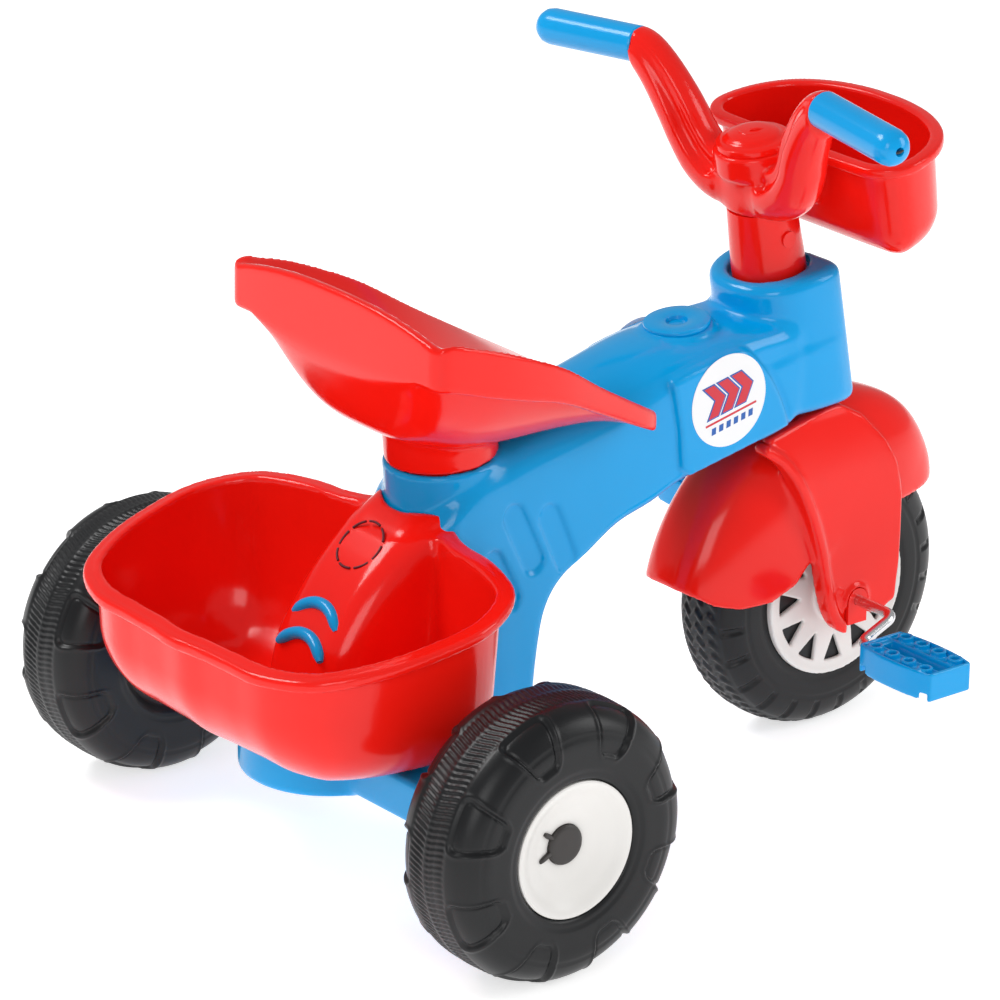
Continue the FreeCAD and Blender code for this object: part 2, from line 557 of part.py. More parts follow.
def pedal(side, sign):
    """Moulded pedal turning on the crank's peg: barrel-sided, two rows of round studs, a middle slot."""
    name = "Pedal" + side
    body = new_body(name + "Body")
    half_length = "pedal_length/2"
    half_width = "pedal_width/2"
    outline = polygon(body, name + "Outline", "XY_Plane", [
        ("-" + half_width + " + 4", "-" + half_length), (half_width + " - 4", "-" + half_length),
        (half_width, "-pedal_length*0.22"), (half_width, "pedal_length*0.22"),
        (half_width + " - 4", half_length),
        ("-" + half_width + " + 4", half_length), ("-" + half_width, "pedal_length*0.22"),
        ("-" + half_width, "-pedal_length*0.22"),
    ])
    pad(body, outline, "pedal_height")
    slots = polygon(body, name + "Slot", "XY_Plane", [
        ("-6", "-pedal_length/2 + 6"), ("6", "-pedal_length/2 + 6"), ("6", "pedal_length/2 - 6"),
        ("-6", "pedal_length/2 - 6"),
    ])
    pocket(body, slots, "pedal_height + 4")
    studs = []
    for row in (-1, 1):
        for column in (-1.5, -0.5, 0.5, 1.5):
            tag = "%s%d%d" % (side, row + 1, int(column * 2 + 3))
            post = cylinder("Stud" + tag, "stud_radius", "3",
                            ("%d*pedal_width*0.29" % row, "%g*pedal_length*0.235" % column,
                             "pedal_height/2"))
            well = cylinder("Well" + tag, "stud_radius - 2.2", "pedal_height",
                            ("%d*pedal_width*0.29" % row, "%g*pedal_length*0.235" % column,
                             "-pedal_height/2 + 6"))
            studs.append((post, well))
    solid = fuse(name + "Solid", [body] + [post for post, _ in studs])
    bore = cylinder(name + "Bore", "crank_radius + run_gap", "pedal_length + 10",
                    ("0", "-pedal_length/2 - 5", "0"), (0, 1, 0))
    obj = cut(name, solid, fuse(name + "Holes", [well for _, well in studs] + [bore]))
    obj.Label = "pedal_" + side
    obj.setExpression(".Placement.Base.x", bind("rear_axle_x + wheelbase + %d*crank_reach_x" % sign))
    obj.setExpression(".Placement.Base.y", bind("%d*(pedal_inner + pedal_length/2)" % sign))
    obj.setExpression(".Placement.Base.z", bind("front_radius + %d*crank_reach_z" % sign))
    NODES[obj.Label] = obj
    return obj


pedal("left", 1)
pedal("right", -1)
retainers = []
for side, sign in (("left", 1), ("right", -1)):
    low = "pedal_inner + pedal_length + 0.5" if sign > 0 else "-pedal_inner - pedal_length - 3.5"
    nut = cylinder("Nut" + side, "7", "3", ("%d*crank_reach_x" % sign, low, "%d*crank_reach_z" % sign),
                   (0, 1, 0))
    nut_bore = cylinder("NutBore" + side, "crank_radius", "9",
                        ("%d*crank_reach_x" % sign, low + " - 3", "%d*crank_reach_z" % sign), (0, 1, 0))
    retainers.append(cut("PushNut" + side, nut, nut_bore))
keep(fuse("PedalRetainers", retainers), "pedal_retainers", "front")

# ---------------------------------------------------------------- fork with its mudguard
arch = new_body("ArchBody")
arch_profile = polygon(arch, "ArchProfile", "YZ_Plane", [
    ("-fender_half", "112"), ("-fender_half + 5", "fender_radius - 9"),
    ("-fender_half + 14", "fender_radius"),
    ("fender_half - 14", "fender_radius"), ("fender_half - 5", "fender_radius - 9"), ("fender_half", "112"),
    ("fender_half - fender_wall", "112"), ("fender_half - fender_wall - 5", "fender_radius - 11"),
    ("fender_half - 16", "fender_radius - fender_wall"), ("-fender_half + 16",
            "fender_radius - fender_wall"),
    ("-fender_half + fender_wall + 5", "fender_radius - 11"), ("-fender_half + fender_wall", "112"),
])
revolve(arch, arch_profile, "H_Axis")
arch_keep = polygon(arch, "ArchKeep", "XZ_Plane", [
    ("-180", "26"), ("-60", "20"), ("0", "40"), ("60", "60"), ("180", "82"), ("180", "-180"),
    ("-180", "-180"),
])
pocket(arch, arch_keep, "400")
arch.Placement.Base.x = -7
legs = new_body("LegsBody")
leg_outline = polygon(legs, "LegOutline", "XZ_Plane", [
    ("-80", "140"), ("-64", "107"), ("-42", "51"), ("-24", "1"), ("-16", "-20"), ("4", "-27"),
    ("22", "-26"),
    ("36", "-12"), ("41.6", "0"), ("41.6", "71"), ("22", "126"), ("8", "140"), ("-10", "150"),
    ("-60", "146"),
])
pad(legs, leg_outline, "2*leg_outer")
leg_gap = polygon(legs, "LegGap", "XZ_Plane", [
    ("-100", "132"), ("60", "132"), ("60", "-60"), ("-100", "-60"),
])
pocket(legs, leg_gap, "2*leg_inner")
crown = cylinder("Crown", "crown_radius", "head_low - 2 - 124",
                 ("-124*sin(lean*1deg)", "0", "124*cos(lean*1deg)"), (0, 0, 1))
crown.Placement = FreeCAD.Placement(V(), FreeCAD.Rotation(V(0, 1, 0), -size("lean")))
crown.setExpression(".Placement.Base.x", bind("-124*sin(lean*1deg)"))
crown.setExpression(".Placement.Base.z", bind("124*cos(lean*1deg)"))
spigot_tube = doc.addObject("Part::Cylinder", "Spigot")
spigot_tube.Placement = crown.Placement
spigot_tube.setExpression("Radius", bind("spigot_radius"))
spigot_tube.setExpression("Height", bind("seam_height + 26 - 124"))
spigot_tube.setExpression(".Placement.Base.x", bind("-124*sin(lean*1deg)"))
spigot_tube.setExpression(".Placement.Base.z", bind("124*cos(lean*1deg)"))
head_clear = new_body("HeadClearBody")
clear_outline = polygon(head_clear, "HeadClear", "XZ_Plane", [
    ("-200", "head_low - 2"), ("200", "head_low - 2"), ("200", "400"), ("-200", "400"),
])
pad(head_clear, clear_outline, "300")
head_clear.Placement = FreeCAD.Placement(V(), FreeCAD.Rotation(V(0, 1, 0), -size("lean")))
fork_shell = cut("ForkShell", fuse("ForkSolid", [arch, legs, crown]), head_clear)
wheel_room = cylinder("WheelRoom", "front_radius + 8", "2*(front_width/2 + 6)",
                      ("0", "-front_width/2 - 6", "0"), (0, 1, 0))
shaft_room = cylinder("ShaftRoom", "crank_radius + 5", "200", ("0", "-100", "0"), (0, 1, 0))
slot_room = box("NotchRoom", ("-crank_radius - 5", "-100", "-60"), ("crank_radius + 5", "100", "0"))
spigot_bore = doc.addObject("Part::Cylinder", "SpigotBore")
spigot_bore.Placement = crown.Placement
spigot_bore.setExpression("Radius", bind("spigot_radius - 3.5"))
spigot_bore.setExpression("Height", bind("seam_height + 30 - 130"))
spigot_bore.setExpression(".Placement.Base.x", bind("-136*sin(lean*1deg)"))
spigot_bore.setExpression(".Placement.Base.z", bind("136*cos(lean*1deg)"))


def pin_cylinder(name, radius, length, low, height):
    """Cylinder across the column at a height along the steering axis, seen from the front wheel's centre."""
    obj = doc.addObject("Part::Cylinder", name)
    obj.Placement = FreeCAD.Placement(V(), FreeCAD.Rotation(V(0, 0, 1), V(0, 1, 0)))
    obj.setExpression("Radius", bind(radius))
    obj.setExpression("Height", bind(length))
    obj.setExpression(".Placement.Base.x", bind("-(%s)*sin(lean*1deg)" % height))
    obj.setExpression(".Placement.Base.y", bind(low))
    obj.setExpression(".Placement.Base.z", bind("(%s)*cos(lean*1deg)" % height))
    return obj


fork = cut("Fork", fuse("ForkWithSpigot", [cut("ForkOpen", fork_shell,
                                               fuse("ForkRooms", [wheel_room, shaft_room, slot_room])),
                                           spigot_tube]),
           fuse("ForkBores", [spigot_bore, pin_cylinder("PinHoleInFork", "3", "80", "-40", "285")]))
keep(fork, "fork", "front")
for side, sign in (("left", 1), ("right", -1)):
    low = "leg_inner" if sign > 0 else "-leg_outer - 1.5"
    block = box("NotchBlock" + side, ("-crank_radius - 5", low, "-18"),
                ("crank_radius + 5", "(%s) + leg_outer + 1.5 - leg_inner" % low, "0"))
    round_top = cylinder("NotchRound" + side, "crank_radius + 5", "leg_outer + 1.5 - leg_inner",
                         ("0", low, "0"), (0, 1, 0))
    rod_hole = cylinder("NotchBore" + side, "crank_radius + run_gap", "40", ("0", "(%s) - 10" % low, "0"),
                        (0, 1, 0))
    keep(cut("CrankBush" + side, fuse("NotchBlock2" + side, [block, round_top]), rod_hole),
         "crank_bush_" + side, "front")

# ---------------------------------------------------------------- column, handlebar, grips (steering frame)
column = new_body("ColumnBody")
column_profile = polygon(column, "ColumnProfile", "XZ_Plane", [
    ("spigot_radius + 0.2", "head_low - 2"), ("column_radius", "head_low - 2"),
    ("column_radius", "head_high + 4"),
    ("column_radius - 2", "seam_height"), ("spigot_radius + 0.2", "seam_height"),
])
revolve(column, column_profile, "V_Axis")
column_tube = cut("ColumnTube", column, fuse("PinHoles", [
    cylinder("PinHoleInColumn", "3", "80", ("0", "-40", "285"), (0, 1, 0)),
    cylinder("PinSeatRight", "6", "20", ("0", "-column_radius - 18", "285"), (0, 1, 0)),
    cylinder("PinSeatLeft", "6", "20", ("0", "column_radius - 2", "285"), (0, 1, 0)),
]))
keep(column_tube, "steering_column", "steer")
pin_rod = cylinder("PinRod", "3", "2*column_radius - 4", ("0", "-column_radius + 2", "285"), (0, 1, 0))
pin_heads = [cylinder("PinHeadRight", "6", "2.4", ("0", "-column_radius - 0.4", "285"), (0, 1, 0)),
             cylinder("PinHeadLeft", "6", "2.4", ("0", "column_radius - 2", "285"), (0, 1, 0))]
keep(fuse("ColumnPin", [pin_rod] + pin_heads), "column_pin", "steer")

ARM = [(-2, 12, 322, 20.0), (-6, 27, 324, 20.5), (-7, 45, 333, 20.0), (-8, 57, 349, 19.0),
       (-10, 66, 369, 17.5),
       (-13, 80, 392, 16.0), (-17, 94, 408, 14.6), (-20, 106, 413, 13.6)]
GRIP_END = (-32.5, 174.4, 411.7)


def arm_loft(sign):
    """One handlebar arm: round sections, each square to the path through its neighbours."""
    centres = [V(u, sign * v, w) for u, v, w, _ in ARM]
    wires = []
    for i, (_, _, _, radius) in enumerate(ARM):
        ahead = centres[min(i + 1, len(ARM) - 1)]
        behind = centres[max(i - 1, 0)]
        wires.append(Part.Wire([Part.makeCircle(radius, centres[i], ahead - behind)]))
    return Part.makeLoft(wires, True, False)


def grip_line(sign):
    """Start and direction of a grip."""
    start = V(ARM[-1][0], sign * ARM[-1][1], ARM[-1][2])
    end = V(GRIP_END[0], sign * GRIP_END[1], GRIP_END[2])
    return start, (end - start).normalize()


hub = Part.makeCylinder(size("column_radius") - 2, size("collar_top") - 20 - size("seam_height"),
                        V(0, 0, size("seam_height")))
collar = Part.makeCone(size("column_radius") - 2, size("collar_radius"), 6,
                       V(0, 0, size("collar_top") - 20))
collar = collar.fuse(Part.makeCylinder(size("collar_radius"), 14, V(0, 0, size("collar_top") - 14)))
pieces = [collar]
for sign in (1, -1):
    pieces.append(arm_loft(sign))
bore = Part.makeCylinder(size("spigot_radius") + 0.2, 28, V(0, 0, size("seam_height") - 2))
below_seam = Part.makeCylinder(size("column_radius") + 8, 40, V(0, 0, size("seam_height") - 40))
cap_room = Part.makeCylinder(size("collar_radius") - 3, 10, V(0, 0, size("collar_top") - 8))
cores = []
grip_rooms = []
for sign in (1, -1):
    start, along = grip_line(sign)
    cores.append(Part.makeCylinder(size("grip_core") - 0.1, size("grip_length") - 6, start - along * 6,
                                   along))
    grip_rooms.append(Part.makeCylinder(size("grip_radius") + 4, size("grip_length"), start - along * 0.1,
                                        along))
bar = hub.fuse(pieces).cut([bore, cap_room, below_seam] + grip_rooms).fuse(cores)
keep(freeform("Handlebar", bar), "handlebar", "steer")
cap_body = new_body("CapBody")
cap_profile = polygon(cap_body, "CapProfile", "XZ_Plane", [
    ("0", "collar_top - 8"), ("collar_radius - 3", "collar_top - 8"), ("collar_radius - 3", "collar_top"),
    ("collar_radius - 4", "collar_top + 4"), ("collar_radius - 10", "collar_top + 8"),
    ("0", "collar_top + 10"),
])
revolve(cap_body, cap_profile, "V_Axis")
keep(cap_body, "handlebar_cap", "steer")
steering_place = FreeCAD.Placement(V(size("rear_axle_x") + size("wheelbase"), 0, size("front_radius")),
                                   FreeCAD.Rotation(V(0, 1, 0), -size("lean")))
for side, sign in (("left", 1), ("right", -1)):
    grip = new_body("Grip" + side)
    grip_profile = polygon(grip, "GripProfile" + side, "XZ_Plane", [
        ("grip_core", "0"), ("grip_radius - 0.6", "0"), ("grip_radius", "1"),
        ("grip_radius", "grip_length - grip_radius"),
        ("0.87*grip_radius", "grip_length - 0.5*grip_radius"),
        ("0.5*grip_radius", "grip_length - 0.13*grip_radius"),
        ("2.5", "grip_length"), ("2.5", "grip_length - 10"), ("grip_core", "grip_length - 10"),
    ])
    revolve(grip, grip_profile, "V_Axis")
    start, along = grip_line(sign)
    grip.Label = "grip_" + side
    grip.Placement = steering_place.multiply(FreeCAD.Placement(start, FreeCAD.Rotation(V(0, 0, 1), along)))
    NODES[grip.Label] = grip

# ---------------------------------------------------------------- front basket (steering frame)
def basket_wire(inset, height, squeeze=0.0):
    """D-shaped outline: straight along the column's side, round in front."""
    low = size("basket_rear") + size("basket_lip") + inset
    high = size("basket_front") - inset - squeeze
    side = size("basket_half") - inset - squeeze
    corner = 14.0
    mid = low + corner
    p = [V(low, side - corner, height), V(low + 0.3 * corner, side - 0.3 * corner, height),
         V(mid, side, height)]
    front_arc = [V(mid + (high - mid) * math.sin(t), side * math.cos(t), height)
                 for t in [math.pi * k / 12 for k in range(1, 12)]]
    q = [V(a.x, -a.y, a.z) for a in reversed(p)]
    curve = Part.BSplineCurve()
    curve.interpolate(p + front_arc + q)
    return Part.Wire([curve.toShape(), Part.LineSegment(q[-1], p[0]).toShape()])


rim = size("basket_rim")
low = rim - size("basket_depth")
wall = size("wall")
outer_basket = Part.makeLoft([basket_wire(0, low, 22), basket_wire(0, low + 14, 5), basket_wire(0, rim)],
                             True, True)
inner_basket = Part.makeLoft([basket_wire(wall, low + wall, 22), basket_wire(wall, low + 15, 5),
                              basket_wire(wall, rim + 1)], True, True)
rim_outer = Part.makeLoft([basket_wire(-size("basket_lip"), rim - 9),
                           basket_wire(-size("basket_lip"), rim)], True, True)
basket_solid = outer_basket.fuse([rim_outer, Part.makeBox(14, 36, 26,
        V(size("column_radius") + 0.2, -18, rim - 60))]).cut(inner_basket)
basket_solid = basket_solid.cut(Part.makeCylinder(size("collar_radius") + 0.2, 60, V(0, 0, rim - 20)))
keep(freeform("Basket", basket_solid), "front_basket", "steer")
screws = []
for sign in (1, -1):
    shank = cylinder("BasketScrew%d" % (sign + 1), "2", "16",
                     ("column_radius - 3", "%d*9" % sign, "basket_rim - 48"), (1, 0, 0))
    screws.append(shank)
keep(fuse("BasketScrews", screws), "basket_screws", "steer")

tub_screws = []
for side, sign in (("left", 1), ("right", -1)):
    shank = cylinder("TubScrew" + side, "2", "14", ("-28", "%d*30" % sign, "foot_top - 9"))
    top = cylinder("TubScrewHead" + side, "4.5", "2", ("-28", "%d*30" % sign, "foot_top + wall + 2"))
    tub_screws += [shank, top]
keep(fuse("TubScrews", tub_screws), "tub_screws")

# ---------------------------------------------------------------- checks and files
doc.recompute()
for obj in doc.Objects:
    if "Invalid" in obj.State or "Error" in obj.State:
        raise RuntimeError("%s did not compute: %s" % (obj.Name, obj.State))
for label, obj in NODES.items():
    if obj.Shape.isNull() or not obj.Shape.isValid():
        raise RuntimeError("%s has no valid shape" % label)
os.makedirs("parts", exist_ok=True)
for label, obj in sorted(NODES.items()):
    obj.Shape.exportStep("parts/%s.step" % label)
    print("%-22s %8.1f cm3 %2d solids" % (label, obj.Shape.Volume / 1000, len(obj.Shape.Solids)))
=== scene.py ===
"""A child's pedal tricycle: moulded red, blue and black plastic with a steel crank, on a white studio floor.

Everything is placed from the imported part's own nodes. Lengths below are millimetres in one of three frames:
REAR   X forward from the rear axle, Y left, Z up from the floor
FRONT  the same directions, from the front wheel's centre
STEER  u forward, v left, w up the leaning steering axis, from the front wheel's centre
"""
import bpy
import bmesh
import json
import math
import numpy as np
from mathutils import Matrix, Vector


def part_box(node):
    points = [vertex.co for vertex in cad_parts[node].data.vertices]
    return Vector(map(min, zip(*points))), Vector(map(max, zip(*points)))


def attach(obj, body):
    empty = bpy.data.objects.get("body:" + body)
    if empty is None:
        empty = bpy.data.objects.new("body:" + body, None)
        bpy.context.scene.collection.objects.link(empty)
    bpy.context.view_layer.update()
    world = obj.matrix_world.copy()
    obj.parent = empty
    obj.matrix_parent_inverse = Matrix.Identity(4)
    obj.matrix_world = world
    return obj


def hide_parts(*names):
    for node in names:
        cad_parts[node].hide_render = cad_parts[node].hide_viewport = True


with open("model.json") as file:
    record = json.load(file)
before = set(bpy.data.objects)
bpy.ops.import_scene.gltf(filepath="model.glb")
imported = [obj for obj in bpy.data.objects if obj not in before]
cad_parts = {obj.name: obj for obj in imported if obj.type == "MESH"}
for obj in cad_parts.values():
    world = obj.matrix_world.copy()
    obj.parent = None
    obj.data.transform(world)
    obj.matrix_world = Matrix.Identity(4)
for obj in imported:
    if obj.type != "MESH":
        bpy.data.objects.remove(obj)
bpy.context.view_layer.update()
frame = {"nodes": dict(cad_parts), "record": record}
MM_TO_M = 0.001
M_TO_MM = 1000


# ------------------------------------------------------------------ places
def centre(node):
    """Middle of a node's box, in metres."""
    low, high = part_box(node)
    return (low + high) / 2


def columns(origin, x, y, z):
    """3x4 placement: the three directions scaled from millimetres, then the origin in metres."""
    return np.array([[x[i] * MM_TO_M, y[i] * MM_TO_M, z[i] * MM_TO_M, origin[i]] for i in range(3)])


steering = [j for j in frame["record"]["behaviour"]["joints"] if j["name"] == "steering"][0]
axis = Vector(steering["axis"]).normalized()
LEAN = math.atan2(-axis.x, axis.z)
rear_x = centre("rear_axle").x
wheel = centre("front_tyre")
REAR = columns((rear_x, 0, 0), (1, 0, 0), (0, 1, 0), (0, 0, 1))
FRONT = columns(tuple(wheel), (1, 0, 0), (0, 1, 0), (0, 0, 1))
STEER = columns(tuple(wheel), (math.cos(LEAN), 0, math.sin(LEAN)), (0, 1, 0),
                (-math.sin(LEAN), 0, math.cos(LEAN)))
WHEEL_X = (wheel.x - rear_x) * M_TO_MM
WHEEL_Z = wheel.z * M_TO_MM
REAR_AXLE_Z = centre("rear_axle").z * M_TO_MM
SOCKET_X, SOCKET_Z, SOCKET_TILT = 88, 284, math.radians(6)
BUTTON_X, BUTTON_Z, BUTTON_TILT = 301, 336, math.radians(8)


# ------------------------------------------------------------------ materials
def plastic(name, colour, rough=0.22, grain=0.0, grain_scale=900.0, ior=1.46, wear=0.04):
    """Moulded plastic: slight variation in colour and gloss, faint orange-peel bump, edges rubbed paler."""
    mat = bpy.data.materials.new(name)
    mat.use_nodes = True
    nodes, links = mat.node_tree.nodes, mat.node_tree.links
    shader = nodes["Principled BSDF"]
    place = nodes.new("ShaderNodeTexCoord")
    cloud = nodes.new("ShaderNodeTexNoise")
    cloud.inputs["Scale"].default_value = 9.0
    cloud.inputs["Detail"].default_value = 3.0
    links.new(place.outputs["Object"], cloud.inputs["Vector"])
    tint = nodes.new("ShaderNodeValToRGB")
    tint.color_ramp.elements[0].position = 0.3
    tint.color_ramp.elements[1].position = 0.7
    tint.color_ramp.elements[0].color = [c * 0.955 for c in colour] + [1]
    tint.color_ramp.elements[1].color = [min(1, c * 1.03) for c in colour] + [1]
    links.new(cloud.outputs["Fac"], tint.inputs["Fac"])
    shape = nodes.new("ShaderNodeNewGeometry")
    edge = nodes.new("ShaderNodeMapRange")
    edge.inputs["From Min"].default_value = 0.56
    edge.inputs["From Max"].default_value = 0.72
    edge.inputs["To Max"].default_value = wear
    links.new(shape.outputs["Pointiness"], edge.inputs["Value"])
    rub = nodes.new("ShaderNodeMix")
    rub.data_type = "RGBA"
    rub.inputs["B"].default_value = [min(1, c * 0.7 + 0.3) for c in colour] + [1]
    links.new(edge.outputs["Result"], rub.inputs["Factor"])
    links.new(tint.outputs["Color"], rub.inputs["A"])
    links.new(rub.outputs["Result"], shader.inputs["Base Color"])
    gloss = nodes.new("ShaderNodeMapRange")
    gloss.inputs["To Min"].default_value = rough * 0.85
    gloss.inputs["To Max"].default_value = rough * 1.2
    links.new(cloud.outputs["Fac"], gloss.inputs["Value"])
    links.new(gloss.outputs["Result"], shader.inputs["Roughness"])
    peel = nodes.new("ShaderNodeTexNoise")
    peel.inputs["Scale"].default_value = grain_scale
    peel.inputs["Detail"].default_value = 2.0
    links.new(place.outputs["Object"], peel.inputs["Vector"])
    bump = nodes.new("ShaderNodeBump")
    bump.inputs["Strength"].default_value = 0.04 + grain
    bump.inputs["Distance"].default_value = 0.0004
    links.new(peel.outputs["Fac"], bump.inputs["Height"])
    links.new(bump.outputs["Normal"], shader.inputs["Normal"])
    shader.inputs["IOR"].default_value = ior
    return mat


def metal(name, colour, rough):
    """Bright drawn steel with a fine noise grain bump."""
    mat = plastic(name, colour, rough, grain=0.1, grain_scale=1500.0, wear=0.02)
    mat.node_tree.nodes["Principled BSDF"].inputs["Metallic"].default_value = 1.0
    return mat


RED = plastic("red_moulded", (0.88, 0.010, 0.005), 0.15, ior=1.38)
BLUE = plastic("blue_moulded", (0.0, 0.345, 0.76), 0.15, ior=1.38)
BLACK = plastic("black_moulded", (0.006, 0.0065, 0.0075), 0.36, grain=0.08, ior=1.38)
TREAD = plastic("black_tread", (0.005, 0.0055, 0.0065), 0.35, grain=0.10, ior=1.38)
WHITE = plastic("white_moulded", (0.76, 0.745, 0.72), 0.34)
STEEL = metal("bright_steel", (0.72, 0.72, 0.74), 0.22)
# painted shade: dark red stands in for the shade inside the slits of the tub's knock-out circle
SLOT_SHADE_RED = plastic("painted_slot_shade", (0.10, 0.004, 0.012), 0.5)
CAP = plastic("hub_cap_black", (0.030, 0.026, 0.024), 0.42)
FILM = plastic("badge_white", (0.86, 0.87, 0.88), 0.30)
INK_RED = plastic("badge_red", (0.62, 0.012, 0.03), 0.35)
INK_BLUE = plastic("badge_blue", (0.0, 0.10, 0.42), 0.35)
# painted shade: near-black stands in for the shade inside the slot across each grip end
SLOT_SHADE_BLACK = plastic("painted_grip_slot_shade", (0.03, 0.03, 0.033), 0.5)


# ------------------------------------------------------------------ meshes
def piece(name, verts, faces, place, body, material, replaces=(), sharp=40.0):
    """One visible piece from vertices in millimetres."""
    v = np.asarray(verts, float) @ place[:, :3].T + place[:, 3]
    mesh = bpy.data.meshes.new(name)
    mesh.from_pydata(v.tolist(), [], faces.tolist() if hasattr(faces, "tolist") else faces)
    mesh.polygons.foreach_set("use_smooth", [True] * len(mesh.polygons))
    mesh.update()
    if sharp:
        mesh.set_sharp_from_angle(angle=math.radians(sharp))
    obj = bpy.data.objects.new(name, mesh)
    bpy.context.collection.objects.link(obj)
    mesh.materials.append(material)
    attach(obj, body)
    if replaces:
        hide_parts(*replaces)
    return obj


def axes(low, high, step):
    """Open grid of three axes over a box, with a margin all round."""
    lines = [np.arange(a - 2.5 * step, b + 3.5 * step, step, dtype=np.float32) for a, b in zip(low, high)]
    x, y, z = np.meshgrid(*lines, indexing="ij", sparse=True)
    return x, y, z, (np.array([line[0] for line in lines]), step)


def read_grid(field, p):
    """Field value and slope at points given in grid cells."""
    top = np.array(field.shape) - 2
    cell = np.clip(np.floor(p).astype(int), 0, top)
    f = p - cell
    c = {}
    for i in (0, 1):
        for j in (0, 1):
            for k in (0, 1):
                c[i, j, k] = field[cell[:, 0] + i, cell[:, 1] + j, cell[:, 2] + k]
    fx, fy, fz = f.T
    x0 = {(j, k): c[0, j, k] * (1 - fx) + c[1, j, k] * fx for j in (0, 1) for k in (0, 1)}
    y0 = {k: x0[0, k] * (1 - fy) + x0[1, k] * fy for k in (0, 1)}
    value = y0[0] * (1 - fz) + y0[1] * fz
    gz = y0[1] - y0[0]
    gy = (x0[1, 0] - x0[0, 0]) * (1 - fz) + (x0[1, 1] - x0[0, 1]) * fz
    gx = sum((c[1, j, k] - c[0, j, k]) * (fy if j else 1 - fy) * (fz if k else 1 - fz)
             for j in (0, 1) for k in (0, 1))
    return value, np.stack([gx, gy, gz], 1)


def surface(field, grid):
    """Quads over the zero level of a distance field, one vertex to a cell."""
    origin, step = grid
    field = field + 0.0137
    inside = field < 0
    n = field.shape
    full = np.zeros([s - 1 for s in n], np.int8)
    for i in (0, 1):
        for j in (0, 1):
            for k in (0, 1):
                full += inside[i:n[0] - 1 + i, j:n[1] - 1 + j, k:n[2] - 1 + k]
    live = (full > 0) & (full < 8)
    cells = np.argwhere(live)
    number = np.full(live.shape, -1, np.int32)
    number[live] = np.arange(len(cells))
    total = np.zeros((len(cells), 3))
    count = np.zeros(len(cells))
    for a in range(3):
        for s in (0, 1):
            for t in (0, 1):
                p = cells.copy()
                p[:, (a + 1) % 3] += s
                p[:, (a + 2) % 3] += t
                q = p.copy()
                q[:, a] += 1
                fp, fq = field[tuple(p.T)], field[tuple(q.T)]
                cross = (fp < 0) != (fq < 0)
                share = np.where(cross, fp / np.where(cross, fp - fq, 1), 0)
                spot = p.astype(float)
                spot[:, a] += share
                total[cross] += spot[cross]
                count[cross] += 1
    verts = total / count[:, None]
    middle = cells + 0.5
    for _ in range(2):
        value, slope = read_grid(field, verts)
        move = value[:, None] * slope / np.maximum((slope ** 2).sum(1), 1e-6)[:, None]
        verts = np.clip(verts - np.clip(move, -0.5, 0.5), middle - 0.6, middle + 0.6)
    quads = []
    for a in range(3):
        b, c = (a + 1) % 3, (a + 2) % 3
        cut = [slice(1, -1)] * 3
        cut[a] = slice(None)
        core = np.moveaxis(inside[tuple(cut)], a, 0)
        change = np.moveaxis(core[:-1] != core[1:], 0, a)
        spots = np.argwhere(change)
        spots[:, b] += 1
        spots[:, c] += 1
        ring = []
        for s, t in ((1, 1), (0, 1), (0, 0), (1, 0)):
            q = spots.copy()
            q[:, b] -= s
            q[:, c] -= t
            ring.append(number[tuple(q.T)])
        ring = np.stack(ring, 1)
        outward = inside[tuple(spots.T)]
        ring[~outward] = ring[~outward][:, ::-1]
        quads.append(ring)
    return verts * step + origin, np.concatenate(quads)


def moulded(name, field, grid, place, body, material, replaces=()):
    """Piece meshed from a distance field."""
    verts, quads = surface(field.astype(np.float32), grid)
    return piece(name, verts, quads, place, body, material, replaces, sharp=None)


# ------------------------------------------------------------------ distance fields
def curve(points, closed=False, each=8):
    """Smooth line through points."""
    p = np.array(points, float)
    n = len(p)
    out = []
    for i in range(n if closed else n - 1):
        a, b, c, d = (p[(i + k) % n] if closed else p[min(max(i + k, 0), n - 1)] for k in (-1, 0, 1, 2))
        for t in np.linspace(0, 1, each, endpoint=False):
            bend, twist = 2 * a - 5 * b + 4 * c - d, 3 * b - 3 * c + d - a
            out.append(0.5 * (2 * b + (c - a) * t + bend * t * t + twist * t ** 3))
    if not closed:
        out.append(p[-1])
    return np.array(out)


def along(table, column=1):
    """Smooth function of x from a table of rows."""
    line = curve([(row[0], row[column]) for row in table])
    return lambda x: np.interp(x, line[:, 0], line[:, 1])


def outline(x, y, points):
    """Signed distance to a closed outline in a plane; negative inside."""
    x, y = np.broadcast_arrays(x, y)
    p = np.asarray(points, float)
    best = np.full(x.shape, 1e9)
    inside = np.zeros(x.shape, bool)
    for (ax, ay), (bx, by) in zip(p, np.roll(p, -1, 0)):
        ex, ey = bx - ax, by - ay
        t = np.clip(((x - ax) * ex + (y - ay) * ey) / (ex * ex + ey * ey + 1e-12), 0, 1)
        best = np.minimum(best, (x - ax - t * ex) ** 2 + (y - ay - t * ey) ** 2)
        if ay != by:
            inside ^= ((ay > y) != (by > y)) & (x < (bx - ax) * (y - ay) / (by - ay) + ax)
    d = np.sqrt(best)
    return np.where(inside, -d, d).astype(np.float32)


def slab(d, e, r):
    """Where both distances are negative, with the edge between them rounded to radius r."""
    p, q = np.maximum(d + r, 0), np.maximum(e + r, 0)
    return np.sqrt(p * p + q * q) + np.minimum(np.maximum(d, e) + r, 0) - r


def join(a, b, k):
    """Union, blended over a distance k."""
    h = np.maximum(k - np.abs(a - b), 0)
    return np.minimum(a, b) - h * h / (4 * k)


def meet(a, b, k):
    """Intersection, blended over a distance k."""
    return -join(-a, -b, k)


def block(x, y, z, low, high, r):
    """Box with edges rounded to radius r."""
    parts = [np.abs(v - (a + b) / 2) - (b - a) / 2 + r for v, a, b in zip((x, y, z), low, high)]
    outside = np.sqrt(sum(np.maximum(v, 0) ** 2 for v in parts))
    return outside + np.minimum(np.maximum(np.maximum(parts[0], parts[1]), parts[2]), 0) - r


